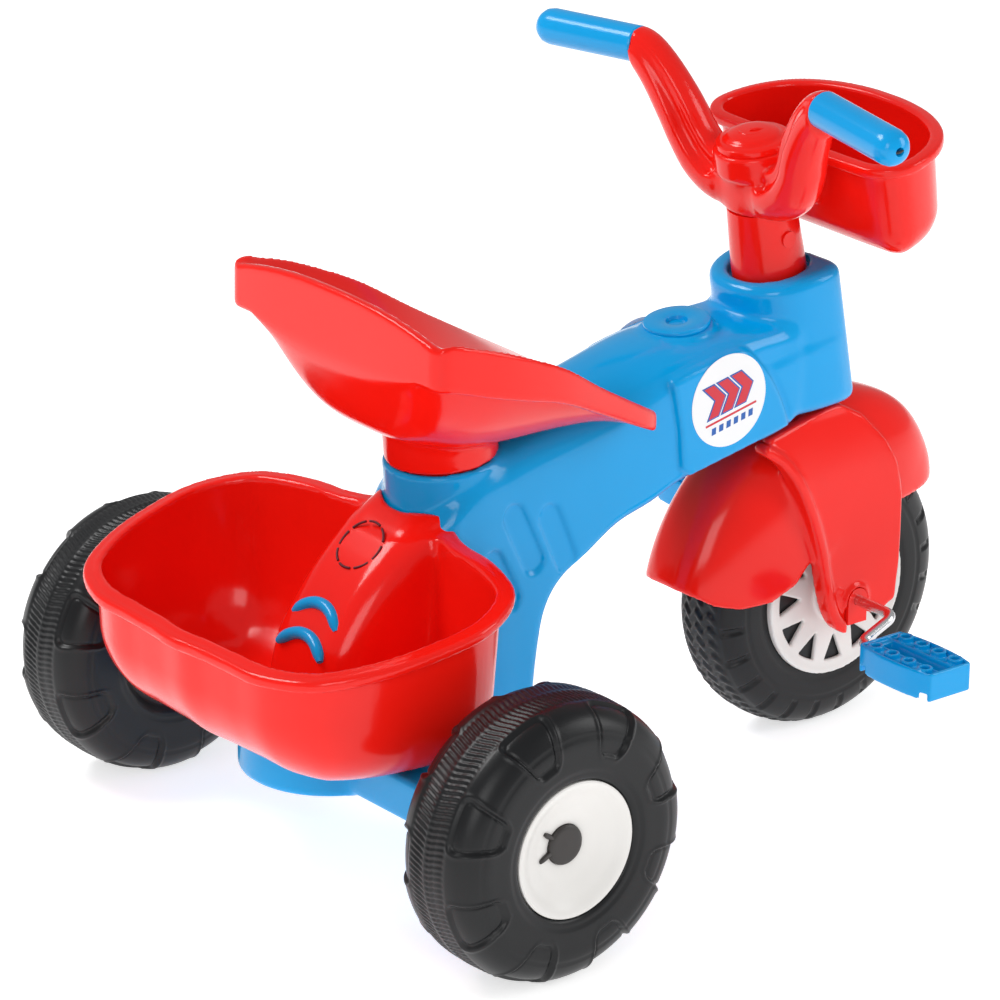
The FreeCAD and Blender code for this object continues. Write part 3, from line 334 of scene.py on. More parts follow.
def drum(a, b, h, low, high, radius, r):
    """Round bar about the axis h runs along."""
    return slab(np.sqrt(a * a + b * b) - radius, np.abs(h - (low + high) / 2) - (high - low) / 2, r)


def rod(x, y, z, p, q, rp, rq):
    """Tapered round-ended bar between two points."""
    p, q = np.array(p, float), np.array(q, float)
    e = q - p
    t = np.clip(((x - p[0]) * e[0] + (y - p[1]) * e[1] + (z - p[2]) * e[2]) / (e @ e), 0, 1)
    away = np.sqrt((x - p[0] - t * e[0]) ** 2 + (y - p[1] - t * e[1]) ** 2 + (z - p[2] - t * e[2]) ** 2)
    return away - (rp + (rq - rp) * t)


def even(field, step):
    """Rescale a field so it grows by one for each millimetre near its zero level."""
    gx, gy, gz = np.gradient(field, step)
    return field / np.maximum(np.sqrt(gx * gx + gy * gy + gz * gz), 1e-3)


def nearest(distances):
    """Least of several distance fields."""
    best = None
    for d in distances:
        best = d if best is None else np.minimum(best, d)
    return best


def segment(x, z, a, b):
    """Distance from a line between two points of a plane."""
    ex, ez = b[0] - a[0], b[1] - a[1]
    t = np.clip(((x - a[0]) * ex + (z - a[1]) * ez) / (ex * ex + ez * ez), 0, 1)
    return np.sqrt((x - a[0] - t * ex) ** 2 + (z - a[1] - t * ez) ** 2)


def mirrored(half, each=5):
    """Closed smooth outline from the half of it on one side of the middle line."""
    return curve(half + [(a, -b) for a, b in reversed(half) if b > 0], True, each)


def tilted(x, z, from_x, from_z, angle):
    """Coordinates along and across a direction turned in the XZ plane."""
    c, s = math.cos(angle), math.sin(angle)
    return (x - from_x) * c + (z - from_z) * s, (z - from_z) * c - (x - from_x) * s


def leaning_plan(u, v, points, reach_u=260.0, reach_v=190.0, gap=1.5):
    """Distance to an outline square to the steering axis, read off a flat grid."""
    flat_u, flat_v = np.arange(-reach_u, reach_u, gap), np.arange(-reach_v, reach_v, gap)
    table = outline(flat_u[:, None], flat_v[None, :], points)
    iu = np.clip((u + reach_u) / gap, 0, len(flat_u) - 2)
    iv = np.clip((v + reach_v) / gap, 0, len(flat_v) - 2)
    ku, kv = iu.astype(int), iv.astype(int)
    fu, fv = iu - ku, iv - kv
    return ((table[ku, kv] * (1 - fv) + table[ku, kv + 1] * fv) * (1 - fu)
            + (table[ku + 1, kv] * (1 - fv) + table[ku + 1, kv + 1] * fv) * fu)


def steered(x, z):
    """Steering-frame u and w of a point in the REAR frame."""
    c, s = math.cos(LEAN), math.sin(LEAN)
    return (x - WHEEL_X) * c + (z - WHEEL_Z) * s, -(x - WHEEL_X) * s + (z - WHEEL_Z) * c


# ------------------------------------------------------------------ main frame
x, y, z, grid = axes((-75, -176, 74), (480, 176, 372), 2.2)
# side outline of the curved beam, from the foot up to the steering head
spine = curve([(-52, 96), (-50, 112), (-40, 120), (-24, 156), (6, 198), (42, 234), (84, 272), (130, 300),
               (204, 321), (266, 336), (300, 341), (345, 342), (378, 338), (384, 300), (376, 256),
               (329, 244), (275, 234), (246, 223), (215, 214), (188, 198), (164, 184), (151, 165),
               (145, 136), (141, 100), (136, 82), (100, 78), (20, 78), (-40, 80)], True, 4)
broad = 36 + 9 * np.clip((x - 46) / 22, 0, 1)
beam = slab(outline(x[:, 0, :], z[0, :, :], spine)[:, None, :], np.abs(y) - broad, 9)
# height of the crown of the beam, and how far its shoulders fall below it
ridge = along([(-60, 150), (-30, 190), (4, 232), (40, 258), (84, 280), (130, 299), (204, 319), (262, 331),
               (300, 332.5), (360, 334), (480, 336)])
fall = along([(-80, 6), (60, 10), (110, 15), (204, 23), (262, 17), (310, 8), (360, 6), (500, 6)])
beam = meet(beam, (z - ridge(x) + fall(x) * (np.abs(y) / 45) ** 2.3) * 0.93, 12)
u, w = steered(x, z)
lid = meet(w - 259, 155 - 0.14 * (u + 10) - w, 4)
# half plan of the steering head, square in front and round behind
HEAD_HALF = [(34, 0), (34, 18), (34, 33), (30.5, 41.5), (21, 46), (6, 46.5), (-11, 44), (-25.5, 36.5),
             (-36.5, 22.5), (-40.5, 8)]
head = slab(leaning_plan(u, y, mirrored(HEAD_HALF)), lid, 8)
lower = block(u, y, w, (-62, -45.5, 158), (20, 45.5, 208), 8)
head = join(head, lower, 8)
# raised badge panel, rounded off towards the head, inside a fine groove
panel_edge = [(254, 322), (260, 300), (265, 277), (268, 246), (276, 239), (329, 249), (369, 257)]
panel_edge += [(237.6 + 136 * math.cos(t), 220.9 + 136 * math.sin(t)) for t in np.linspace(0.27, 1.22, 12)]
flat = outline(x[:, 0, :], z[0, :, :], panel_edge)[:, None, :]
panel = slab(flat, np.abs(y) - 49, 2.5)
panel = meet(panel, (z - ridge(x) + 3 + 0.75 * fall(x)) * 0.95, 6)
groove = slab(np.abs(flat - 1.5) - 2.2, 45.2 - np.abs(y), 1.0)
# seat socket, round foot and rear cross beam
sx, sz = tilted(x, z, SOCKET_X, SOCKET_Z, SOCKET_TILT)
socket = drum(sx, y, sz, -204, 0, 41.5, 3)
foot = drum(x + 10, y, z, 76, 113, 62, 4)
cross = block(x, y, z, (-35, -174, 79), (24, 174, 111), 5)
field = join(beam, head, 7)
field = join(field, socket, 9)
field = join(field, join(foot, cross, 6), 8)
field = join(np.maximum(field, -groove), panel, 2.5)
bx, bz = tilted(x, z, BUTTON_X, BUTTON_Z, BUTTON_TILT)
field = join(field, drum(bx, y, bz, -30, -1.5, 27.0, 2.5), 5)
for high_end, low_end, half_width in (((150, 236), (166, 200), 9), ((118, 243), (136, 206), 9),
                                      ((100, 214), (116, 182), 8)):
    dent = slab(segment(x, z, high_end, low_end) - half_width, 42.6 - np.abs(y), 1.5)
    field = meet(field, -dent, 3)
field = meet(field, -drum(u, y, w, 140, 300, 29.3, 0.1), 3)
field = meet(field, -drum(sx, y, sz, -60, 20, 36.4, 0.1), 2)
moulded("frame_body", field, grid, REAR, "frame", BLUE, ["main_frame"])
del field, beam, head, panel, socket, foot, cross, groove, lid


def turned(name, profile, place, body, material, replaces=(), count=96, shift=None, sharp=38.0):
    """Closed (distance along axis, radius) loop turned about Y; shift(profile, angles) moves it out."""
    p = np.array(profile, float)
    n = len(p)
    angle = np.arange(count) * 2 * np.pi / count
    step = np.roll(p, -1, 0) - np.roll(p, 1, 0)
    normal = np.stack([step[:, 1], -step[:, 0]], 1)
    normal /= np.maximum(np.linalg.norm(normal, axis=1), 1e-9)[:, None]
    area = 0.5 * np.sum(p[:, 0] * np.roll(p[:, 1], -1) - np.roll(p[:, 0], -1) * p[:, 1])
    if area < 0:
        normal = -normal
    h = np.repeat(p[:, 0][:, None], count, 1)
    r = np.repeat(p[:, 1][:, None], count, 1)
    if shift is not None:
        d = shift(p, angle)
        h = h + d * normal[:, 0][:, None]
        r = r + d * normal[:, 1][:, None]
    verts = np.stack([r * np.cos(angle), h, r * np.sin(angle)], -1).reshape(-1, 3)
    i, j = np.meshgrid(np.arange(n), np.arange(count), indexing="ij")
    a = i * count + j
    b = i * count + (j + 1) % count
    c = ((i + 1) % n) * count + (j + 1) % count
    d = ((i + 1) % n) * count + j
    quads = np.stack([a, b, c, d], -1).reshape(-1, 4)
    if area < 0:
        quads = quads[:, ::-1]
    return piece(name, verts, quads, place, body, material, replaces, sharp)


def at(node_place, offset, turn=None):
    """Placement at an offset inside another one, turned by a 3x3 matrix."""
    place = node_place.copy()
    place[:, 3] = node_place[:, :3] @ np.array(offset, float) + node_place[:, 3]
    if turn is not None:
        place[:, :3] = node_place[:, :3] @ np.array(turn, float)
    return place


def basis(y_dir, x_hint=(1, 0, 0)):
    """Rotation whose Y runs along y_dir."""
    yv = np.array(y_dir, float)
    yv /= np.linalg.norm(yv)
    xv = np.array(x_hint, float)
    xv -= xv @ yv * yv
    xv /= np.linalg.norm(xv)
    return np.stack([xv, yv, np.cross(xv, yv)], 1)


def dense(points, gap):
    """Closed profile with extra points no further apart than gap."""
    out = []
    p = np.array(points, float)
    for a, b in zip(p, np.roll(p, -1, 0)):
        n = max(1, int(np.ceil(np.linalg.norm(b - a) / gap)))
        out += [a + (b - a) * k / n for k in range(n)]
    return np.array(out)


# button on the beam
button_up = (-math.sin(BUTTON_TILT), 0, math.cos(BUTTON_TILT))
BUTTON_PROFILE = [(-3, 0.3), (-3, 22), (-1, 24.2), (0.6, 24.5), (1.8, 24), (2.4, 22.8), (2.2, 9.5),
                  (1.4, 8), (-1.6, 7), (-1.6, 0.3)]
turned("beam_button", BUTTON_PROFILE, at(REAR, (BUTTON_X, 0, BUTTON_Z), basis(button_up)), "frame", BLUE,
       ["beam_cap"], 72)

# ------------------------------------------------------------------ seat
x, y, z, grid = axes((-16, -122, 250), (222, 122, 426), 2.0)
# seat sections: x, rim height, pan height, underside height, half width, lip thickness
STATIONS = [(-16, 410, 406, 384, 115, 30), (-8, 410, 396, 368, 115, 30), (6, 407, 378, 334, 116, 29),
            (20, 402, 366, 318, 118, 28), (40, 395, 355, 309, 119, 27), (68, 385, 346, 300, 119, 25),
            (104, 371, 341, 297, 115, 22), (146, 348, 333, 298, 105, 19), (186, 326, 321, 298, 93, 17),
            (222, 306.5, 305.5, 290, 82, 15)]
rim, pan, under, half, lip = (along(STATIONS, k)(x) for k in (1, 2, 3, 4, 5))
t = np.clip(np.abs(y) / half, 0, 1.15)
arch = 13.5 * np.clip(1 - t ** 2.4, 0, 1)
top = pan + (rim - pan) * np.clip((t - 0.08) / 0.86, 0, 1.1) ** 2.7
back = np.clip(1 - (x + 3) / 13.0, 0, 1) ** 1.3
top = np.maximum(top, top * (1 - back) + (rim + arch) * back)
edge = rim - lip
bottom = under + (edge - under) * np.clip(t / 0.80, 0, 1) ** 3.2
# half plan of the seat
SEAT_HALF = [(-9.5, 0), (-9.5, 60), (-9, 100), (-8, 110), (-2, 116.5), (14, 119), (50, 121), (80, 119),
             (110, 114), (146, 104), (186, 92), (208, 84), (217, 77), (220.5, 60), (221.5, 30), (221.5, 0)]
plan = mirrored(SEAT_HALF)
field = meet((z - top) * 0.9, (bottom - z) * 0.82, 3.0)
field = meet(even(field, 2.0), outline(x[:, :, 0], y[:, :, 0], plan)[:, :, None], 4)
sx, sz = tilted(x, z, SOCKET_X, SOCKET_Z, SOCKET_TILT)
field = join(field, drum(sx, y, sz, 0.6, 40, 40, 1.0), 5)
field = join(field, drum(sx, y, sz, -30, 20, 35.8, 1.0), 0.5)
moulded("seat_shell", field, grid, REAR, "frame", RED, ["seat"])

# ------------------------------------------------------------------ rear tub
x, y, z, grid = axes((-146, -170, 108), (82, 170, 262), 2.0)
# half plan of the tub's rim
LIP = [(79.8, 0), (71.4, 31.7), (59.9, 61.8), (54.7, 101.7), (36.9, 145.4), (-2.1, 167.8), (-47.1, 166.2),
       (-88.5, 154.5), (-122.8, 131.2), (-140.2, 93.1), (-142.3, 55), (-143.5, 25.8), (-145.7, 0)]
ring = mirrored(LIP, 6)
plan = outline(x[:, :, 0], y[:, :, 0], ring)[:, :, None] + 9
RIM_SLOPE = 0.196
level = 232 + RIM_SLOPE * x
drop = (level - z) / math.hypot(1, RIM_SLOPE)
outer = slab(plan + 0.06 * np.maximum(drop, 0), 113.4 - z, 54)
lip = slab(slab(plan - 9, -plan - 2.5, 3), np.abs(-drop + 4.2) - 4.2, 2.6)
# tunnel over the beam
spine_line = curve([(-60, 100), (-50, 114), (-40, 136), (-35, 157), (-29, 174), (-17, 192), (0, 213),
                    (19, 231), (42, 249), (70, 262), (100, 262), (100, 100)], True, 4)
tunnel = slab(outline(x[:, 0, :], z[0, :, :], spine_line)[:, None, :], np.abs(y) - 41, 22)
room = meet(outer + 4.0, -tunnel, 14)
shell = np.maximum(np.maximum(outer, -drop - 0.4), -room)
shell = join(np.maximum(shell, -(tunnel + 3.9)), lip, 3)
cover = np.maximum(np.maximum(np.maximum(tunnel, -(tunnel + 3.9)), plan - 6), 113 - z)
shell = join(shell, cover, 4)
sx = tilted(x, z, SOCKET_X, SOCKET_Z, SOCKET_TILT)[0]
shell = meet(shell, 43.0 - np.sqrt(sx * sx + y * y), 2)
moulded("tub_shell", shell, grid, REAR, "frame", RED, ["rear_tub"])


def swept(name, path, radii, place, body, material, replaces=(), count=20):
    """Round bar along a path, closed at both ends."""
    p = np.array(path, float)
    radii = np.broadcast_to(np.asarray(radii, float), (len(p),))
    tangent = np.gradient(p, axis=0)
    tangent /= np.linalg.norm(tangent, axis=1)[:, None]
    side = np.cross(tangent[0], (0, 0, 1) if abs(tangent[0][2]) < 0.9 else (1, 0, 0))
    verts = []
    a = np.arange(count) * 2 * np.pi / count
    for i in range(len(p)):
        side = side - side @ tangent[i] * tangent[i]
        side /= np.linalg.norm(side)
        up = np.cross(side, tangent[i])
        verts.append(p[i] + radii[i] * (np.cos(a)[:, None] * side + np.sin(a)[:, None] * up))
    verts = np.concatenate(verts)
    n = len(p)
    i, j = np.meshgrid(np.arange(n - 1), np.arange(count), indexing="ij")
    quads = np.stack([i * count + j, i * count + (j + 1) % count, (i + 1) * count + (j + 1) % count,
                      (i + 1) * count + j], -1)
    faces = [list(q) for q in quads.reshape(-1, 4).tolist()]
    faces.append(list(range(count))[::-1])
    faces.append(list(range((n - 1) * count, n * count)))
    mesh_faces = [f[::-1] for f in faces]
    return piece(name, verts, mesh_faces, place, body, material, replaces, 50.0)


def ends(radius, n, taper=0.5):
    """Radii along a bar that draw in at both ends."""
    r = np.full(n, float(radius))
    r[0] = r[-1] = radius * taper
    r[1] = r[-2] = radius * 0.9
    return r


for k, (hx, hz) in enumerate(((-27, 176), (-13, 195))):
    path = [(hx - 2.0 - 6 * (abs(v) / 24) ** 2.2, v, hz + 0.5 - 11 * (abs(v) / 24) ** 2.2)
            for v in np.linspace(-24, 24, 15)]
    swept("tub_hook_%d" % k, path, ends(4.6, 15), REAR, "frame", BLUE,
          ["tub_hooks"] if k == 0 else (), 16)
face = np.array((-0.69, 0, 0.72))
across, upward = np.array((0, 1.0, 0)), np.array((0.72, 0, 0.69))
# ring of eight dark red arcs on the tub: painted shade standing in for the slits of a knock-out circle, drawn
# as thin bars on the surface
for k in range(8):
    mid = k * 2 * np.pi / 8
    arc = [np.array((17.6, 0, 232.0)) + 19 * (math.cos(q) * across + math.sin(q) * upward)
           + face * (0.5 * (1 - abs(math.cos(q))) - 0.6 * math.cos(q) ** 2)
           for q in np.linspace(mid - 0.30, mid + 0.30, 7)]
    swept("tub_slot_shade_%d" % k, arc, 0.9, REAR, "frame", SLOT_SHADE_RED, (), 8)
for k, sign in enumerate((1, -1)):
    turned("tub_screw_%d" % k, [(0, 0.3), (0, 4.5), (1.2, 4.5), (2.2, 3), (2.3, 0.3)],
           at(REAR, (-80, sign * 60, 116.8), basis((0, 0, 1))), "frame", STEEL,
           ["tub_screws"] if k == 0 else (), 24)


# ------------------------------------------------------------------ tyres
def smooth_loop(points, gap):
    """Closed smooth profile, its points about gap apart."""
    p = curve(points, True, 12)
    length = np.concatenate([[0], np.cumsum(np.linalg.norm(np.roll(p, -1, 0) - p, axis=1))])
    n = int(length[-1] / gap)
    target = np.linspace(0, length[-1], n, endpoint=False)
    q = np.vstack([p, p[:1]])
    return np.stack([np.interp(target, length, q[:, k]) for k in (0, 1)], 1)


def ramp(v):
    """Smooth step from 0 to 1."""
    v = np.clip(v, 0, 1)
    return v * v * (3 - 2 * v)


def reach_from_tread(p, radius):
    """Distance along the profile from the middle of the tread, the same on both sides."""
    top = int(np.argmin(np.abs(p[:, 0]) + 3 * (radius - p[:, 1])))
    gaps = np.linalg.norm(np.roll(p, -1, 0) - p, axis=1)
    n = len(p)
    out = np.zeros(n)
    walk = 0
    for k in range(1, n // 2):
        walk += gaps[(top + k - 1) % n]
        out[(top + k) % n] = walk
    walk = 0
    for k in range(1, n - n // 2 + 1):
        walk += gaps[(top - k) % n]
        out[(top - k) % n] = walk
    return out


# wheel sections: distance from the middle plane (outward positive), radius
REAR_PROFILE = [(-30, 9.5), (-30.5, 30), (-31, 44), (-34, 48), (-37.5, 52), (-38.8, 58), (-38.9, 68),
                (-38.7, 76), (-37.2, 83), (-33.8, 90), (-28.5, 95.2), (-22, 98.1), (-15, 99.4), (-8, 99.8),
                (0, 100), (8, 99.8), (15, 99.4), (22, 98.1), (28.5, 95.2), (33.8, 90), (37.2, 83),
                (38.7, 76), (38.9, 68), (38.8, 58), (37.6, 52.5), (36, 49.6), (33, 49.2), (27, 49.2),
                (24.6, 38), (21.6, 17), (21.4, 9.5), (0, 9.3)]


def rear_tread(p, angle):
    """Fine ribs round the middle and eight sunk shoulder pads a side."""
    a = reach_from_tread(p, 100)[:, None]
    h = p[:, 0][:, None]
    r = p[:, 1][:, None]
    d = np.zeros((len(p), len(angle)))
    near = 1 - ramp((a - 14.5) / 2)
    band = near * ramp((np.abs(h) - 1.2) / 1.0)
    ribs = 0.5 + 0.5 * np.tanh(2.5 * np.sin(angle[None, :] * 150 + np.abs(h) * 0.42))
    d -= 0.9 * band * ribs
    d -= 0.8 * np.exp(-((a - 16.5) / 1.1) ** 2) + 0.5 * np.exp(-((a - 7.5) / 0.8) ** 2)
    for side in (1, -1):
        shift = 0 if side > 0 else math.pi / 8
        turn = (angle[None, :] - shift + math.pi / 8) % (math.pi / 4) - math.pi / 8
        mask = np.where((h * side > 0) & (a > 15), 1.0, 0.0)
        wide = 19 - 6.5 * np.clip((a - 18) / 42, 0, 1)
        q = np.abs(turn) * 92 - wide
        s = np.abs(a - 39.5) - 20.0
        corner = 7.0
        rounded = np.sqrt(np.maximum(q + corner, 0) ** 2 + np.maximum(s + corner, 0) ** 2)
        pad = rounded + np.minimum(np.maximum(q, s) + corner, 0) - corner
        sunk = 1.9 * ramp(-pad / 2.2) + 1.9 * np.exp(-((pad + 0.6) / 1.3) ** 2)
        d -= mask * (sunk - 0.6 * np.exp(-((pad - 2.2) / 1.4) ** 2))
    side_groove = np.exp(-((r - 55) / 1.2) ** 2) * (np.abs(h) > 36)
    d -= 0.8 * side_groove
    d -= 0.6 * np.exp(-((r - 80.5) / 1.0) ** 2) * (np.abs(h) > 36)
    return d


CAP_PROFILE = [(21.9, 14.5), (24.0, 14.6), (27.4, 26), (32.4, 38), (35.8, 43.6), (36.9, 46.6), (37.0, 47.8),
               (36.4, 48.6), (34.6, 48.7), (27.4, 48.7), (27.2, 45.8), (32.6, 43.4), (29.4, 38), (25.0, 27),
               (21.9, 18)]
HUB_PROFILE = [(22.4, 0.3), (22.4, 13.4), (23.8, 14.2), (25.6, 14.1), (26.6, 13.2), (26.9, 11.0),
               (27.2, 0.3)]
for side, sign in (("left", 1), ("right", -1)):
    body = "rear_wheel_" + side
    low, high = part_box("rear_tyre_" + side)
    place = columns((rear_x, (low.y + high.y) / 2, (low.z + high.z) / 2), (1, 0, 0), (0, 1, 0), (0, 0, 1))
    loop = smooth_loop([(h * sign, r) for h, r in REAR_PROFILE], 1.7)
    turned("rear_tread_" + side, loop, place, body, TREAD, ["rear_tyre_" + side], 750,
           rear_tread, None)
    turned("rear_disc_" + side, dense([(h * sign, r) for h, r in CAP_PROFILE], 2.5), place, body, WHITE,
           ["rear_hubcap_" + side], 128, None, 42)
    turned("axle_end_" + side, dense([(h * sign, r) for h, r in HUB_PROFILE], 2.5), place, "frame", CAP,
           ["axle_cap_" + side], 64, None, 42)
    for k, turn in enumerate((math.radians(146), math.radians(-166))):
        bar = [(math.cos(turn) * q, sign * (24.4 + 0.27 * (q - 12)), math.sin(turn) * q)
               for q in (11, 14, 17, 21, 24)]
        swept("axle_tab_%s_%d" % (side, k), bar, [1.9, 1.9, 1.9, 1.9, 1.3], place, "frame", CAP,
              (), 12)

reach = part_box("rear_axle")[1].y * M_TO_MM - 12
swept("axle_rod", [(0, v, REAR_AXLE_Z) for v in np.linspace(-reach, reach, 9)], 4.98, REAR, "frame", STEEL,
      ["rear_axle"], 28)

FRONT_PROFILE = [(-28, 9.5), (-28.2, 40), (-28.4, 60), (-29.2, 66), (-30, 71), (-30, 80), (-29.4, 88),
                 (-27, 96), (-22.5, 102.5), (-16, 106.8), (-8, 108.6), (0, 109), (8, 108.6), (16, 106.8),
                 (22.5, 102.5), (27, 96), (29.4, 88), (30, 80), (30, 71), (29.2, 66), (28.4, 60),
                 (28.2, 40), (28, 9.5), (0, 9.3)]


def front_tread(p, angle):
    """Zigzag ribs round the middle and 24 notches a side."""
    a = reach_from_tread(p, 109)[:, None]
    h = p[:, 0][:, None]
    r = p[:, 1][:, None]
    zig = 2.1 * np.abs(((h / 6.5) % 2) - 1)
    ribs = 0.5 + 0.5 * np.tanh(3 * np.sin(angle[None, :] * 60 + zig * 1.9))
    d = -1.5 * (1 - ramp((a - 17) / 2)) * ribs
    d = d - 0.9 * np.exp(-((a - 20) / 1.2) ** 2)
    for side in (1, -1):
        shift = 0 if side > 0 else math.pi / 24
        turn = (angle[None, :] - shift + math.pi / 24) % (math.pi / 12) - math.pi / 24
        mask = np.where((h * side > 0) & (a > 20), 1.0, 0.0)
        q = np.abs(turn) * 100 - 3.4
        s = np.abs(a - 31) - 9
        cutin = np.maximum(q, s)
        d = d - mask * 1.9 * ramp(-cutin / 1.6)
    rings = 0.7 * np.exp(-((r - 84) / 1.1) ** 2) + 0.6 * np.exp(-((r - 69) / 1.1) ** 2)
    return d - rings * (np.abs(h) > 27)


turned("front_tread", smooth_loop(FRONT_PROFILE, 1.7), FRONT, "front_wheel", TREAD,
       ["front_tyre"], 600, front_tread, None)

# front hub discs, pierced by a ring of rounded triangles
x, y, z, grid = axes((-65, 26.5, -65), (65, 37, 65), 1.15)
radius = np.sqrt(x * x + z * z)
theta = np.arctan2(z, x)
rim_rise = 0.9 * np.clip((radius - 58) / 4, 0, 1) * (radius < 64.5)
disc = slab(radius - 64.4, np.abs(y - 30.2) - 2.2 - rim_rise, 1.0)
disc = join(disc, slab(radius - 22, np.abs(y - 31.4) - 3.4, 1.5), 3)
disc = join(disc, slab(radius - 12, np.abs(y - 33) - 3.2, 1.0), 1.5)
turn = (theta + math.pi / 12) % (math.pi / 6) - math.pi / 12
across = np.abs(turn) * radius
hole = np.maximum(np.maximum(radius - 54.5, 35 - radius), across - (0.7 + (radius - 35) * 0.41))
disc = meet(disc, -hole * 0.9, 1.5)
disc = meet(disc, -(radius - 4.6), 0.5)
verts, quads = surface(disc.astype(np.float32), grid)
for side, sign in (("left", 1), ("right", -1)):
    v = verts * (1, sign, 1)
    piece("front_disc_" + side, v, quads if sign > 0 else quads[:, ::-1], FRONT, "front_wheel", WHITE,
          ["front_hubcap_" + side], None)
    well = [(sign * 28.15, 30), (sign * 28.5, 30), (sign * 28.5, 57.5), (sign * 28.15, 57.5)]
    turned("hub_well_" + side, dense(well, 3), FRONT, "front_wheel", BLACK, (), 72)

# ------------------------------------------------------------------ crank
low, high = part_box("crank")
BEND_Y, THROW_X, THROW_Z, BEND_RADIUS = 95.0, 32.0, 13.5, 8
reach = high.y * M_TO_MM - 8
corners = [(-THROW_X, -reach, -THROW_Z), (-THROW_X, -BEND_Y, -THROW_Z), (0, -BEND_Y, 0), (0, BEND_Y, 0),
           (THROW_X, BEND_Y, THROW_Z), (THROW_X, reach, THROW_Z)]
path = [corners[0]]
for before, corner, after in zip(corners, corners[1:], corners[2:]):
    b, c, a = (np.array(v, float) for v in (before, corner, after))
    p = c + (b - c) / np.linalg.norm(b - c) * BEND_RADIUS
    q = c + (a - c) / np.linalg.norm(a - c) * BEND_RADIUS
    path += [tuple((1 - t) ** 2 * p + 2 * t * (1 - t) * c + t * t * q) for t in np.linspace(0, 1, 9)]
path.append(corners[-1])
swept("crank_rod", path, 4.0, FRONT, "front_wheel", STEEL, ["crank"], 28)

# ------------------------------------------------------------------ pedals
x, y, z, grid = axes((-24.5, -38, -10.2), (24.5, 38, 13.4), 1.15)
barrel = 24 - 4.5 * np.clip(np.abs(y) / 37.5, 0, 1) ** 2.4
shape = block(x * 24 / barrel, y, z, (-24, -37.5, -10), (24, 37.5, 11.6), 1.4)
tray = np.maximum(np.maximum(np.abs(x) * 24 / barrel - 21.4, np.abs(y) - 34.8), 8.4 - z)
shape = meet(shape, -tray, 0.8)
walls = np.maximum(np.maximum(np.abs(np.abs(x) - 7.6) - 1.2, np.abs(y) - 35.5), np.abs(z - 1) - 8.8)
shape = join(shape, walls, 0.6)
STUD_X, STUD_GAP = 14.6, 17.2
for row in (-1, 1):
    for k in (-1.5, -0.5, 0.5, 1.5):
        from_stud = np.sqrt((x - row * STUD_X) ** 2 + (y - k * STUD_GAP) ** 2)
        shape = join(shape, slab(from_stud - 5.8, np.maximum(z - 12.9, -z), 0.6), 0.8)
        shape = meet(shape, -slab(from_stud - 3.5, 6.0 - z, 0.3), 0.5)
    hollow = np.maximum(np.maximum(np.abs(y) - 34.5, np.abs(x - row * STUD_X) - 6.2), z + 4.5)
    shape = meet(shape, -hollow, 1.0)
shape = meet(shape, -np.maximum(np.abs(x) - 6.4, np.abs(y) - 31), 0.8)
shape = meet(shape, -np.maximum(np.sqrt(x * x + z * z) - 4.2, y - 35), 0.3)
verts, quads = surface(shape.astype(np.float32), grid)
for side, sign in (("left", 1), ("right", -1)):
    low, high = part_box("pedal_" + side)
    spot = (wheel.x + sign * THROW_X * MM_TO_M, (low.y + high.y) / 2, wheel.z + sign * THROW_Z * MM_TO_M)
    place = columns(spot, (1, 0, 0), (0, 1, 0), (0, 0, 1))
    piece("pedal_block_" + side, verts * (1, sign, 1), quads if sign > 0 else quads[:, ::-1], place,
          "pedal_" + side, BLUE, ["pedal_" + side], None)
    ring = [(-0.8, 4.05), (0.8, 4.05), (0.8, 5.9), (-0.8, 5.9)]
    turned("push_nut_" + side, ring, at(place, (0, sign * 29.0, 0)), "front_wheel", STEEL,
           ["pedal_retainers"] if sign > 0 else (), 36)

# ------------------------------------------------------------------ fork and mudguard
x, y, z, grid = axes((-150, -61, -36), (116, 61, 190), 2.0)
rho = np.sqrt(x * x + z * z) + 0 * y
theta = np.degrees(np.arctan2(z, x))
# mudguard: angle round the wheel in degrees, radius, half width
SHELL = [(-30, 122, 42), (22, 123, 43), (30, 127, 43.5), (38.5, 135.5, 44), (50, 143.5, 45),
         (60, 148, 45.5), (72, 149.5, 46), (90, 149, 46.5), (110, 146, 48), (130, 143, 50),
         (150, 143, 50.5), (165, 144, 50), (181, 146, 48)]
radius = along(SHELL, 1)(theta)
width = along(SHELL, 2)(theta)
power = 2.45 + 0.55 * np.clip((theta - 45) / 50, 0, 1)
dome = even((np.abs(rho / radius) ** power + np.abs(y / width) ** power) ** (1 / power) - 1, 2.0)
# everything above this line belongs to the mudguard
keep_line = [(-170, 60), (-152, 40), (-140, 27), (-120, 16), (-100, 11), (-75, 12), (-54, 22), (-40, 38),
             (-20, 60), (40, 60), (80, 61), (100, 63), (130, 68), (130, 220), (-170, 220)]
above = outline(x[:, 0, :], z[0, :, :], keep_line)[:, None, :]
shell = meet(np.maximum(dome, -(dome + 4.2)), above, 2.5)
w = -x * math.sin(LEAN) + z * math.cos(LEAN)
u = x * math.cos(LEAN) + z * math.sin(LEAN)
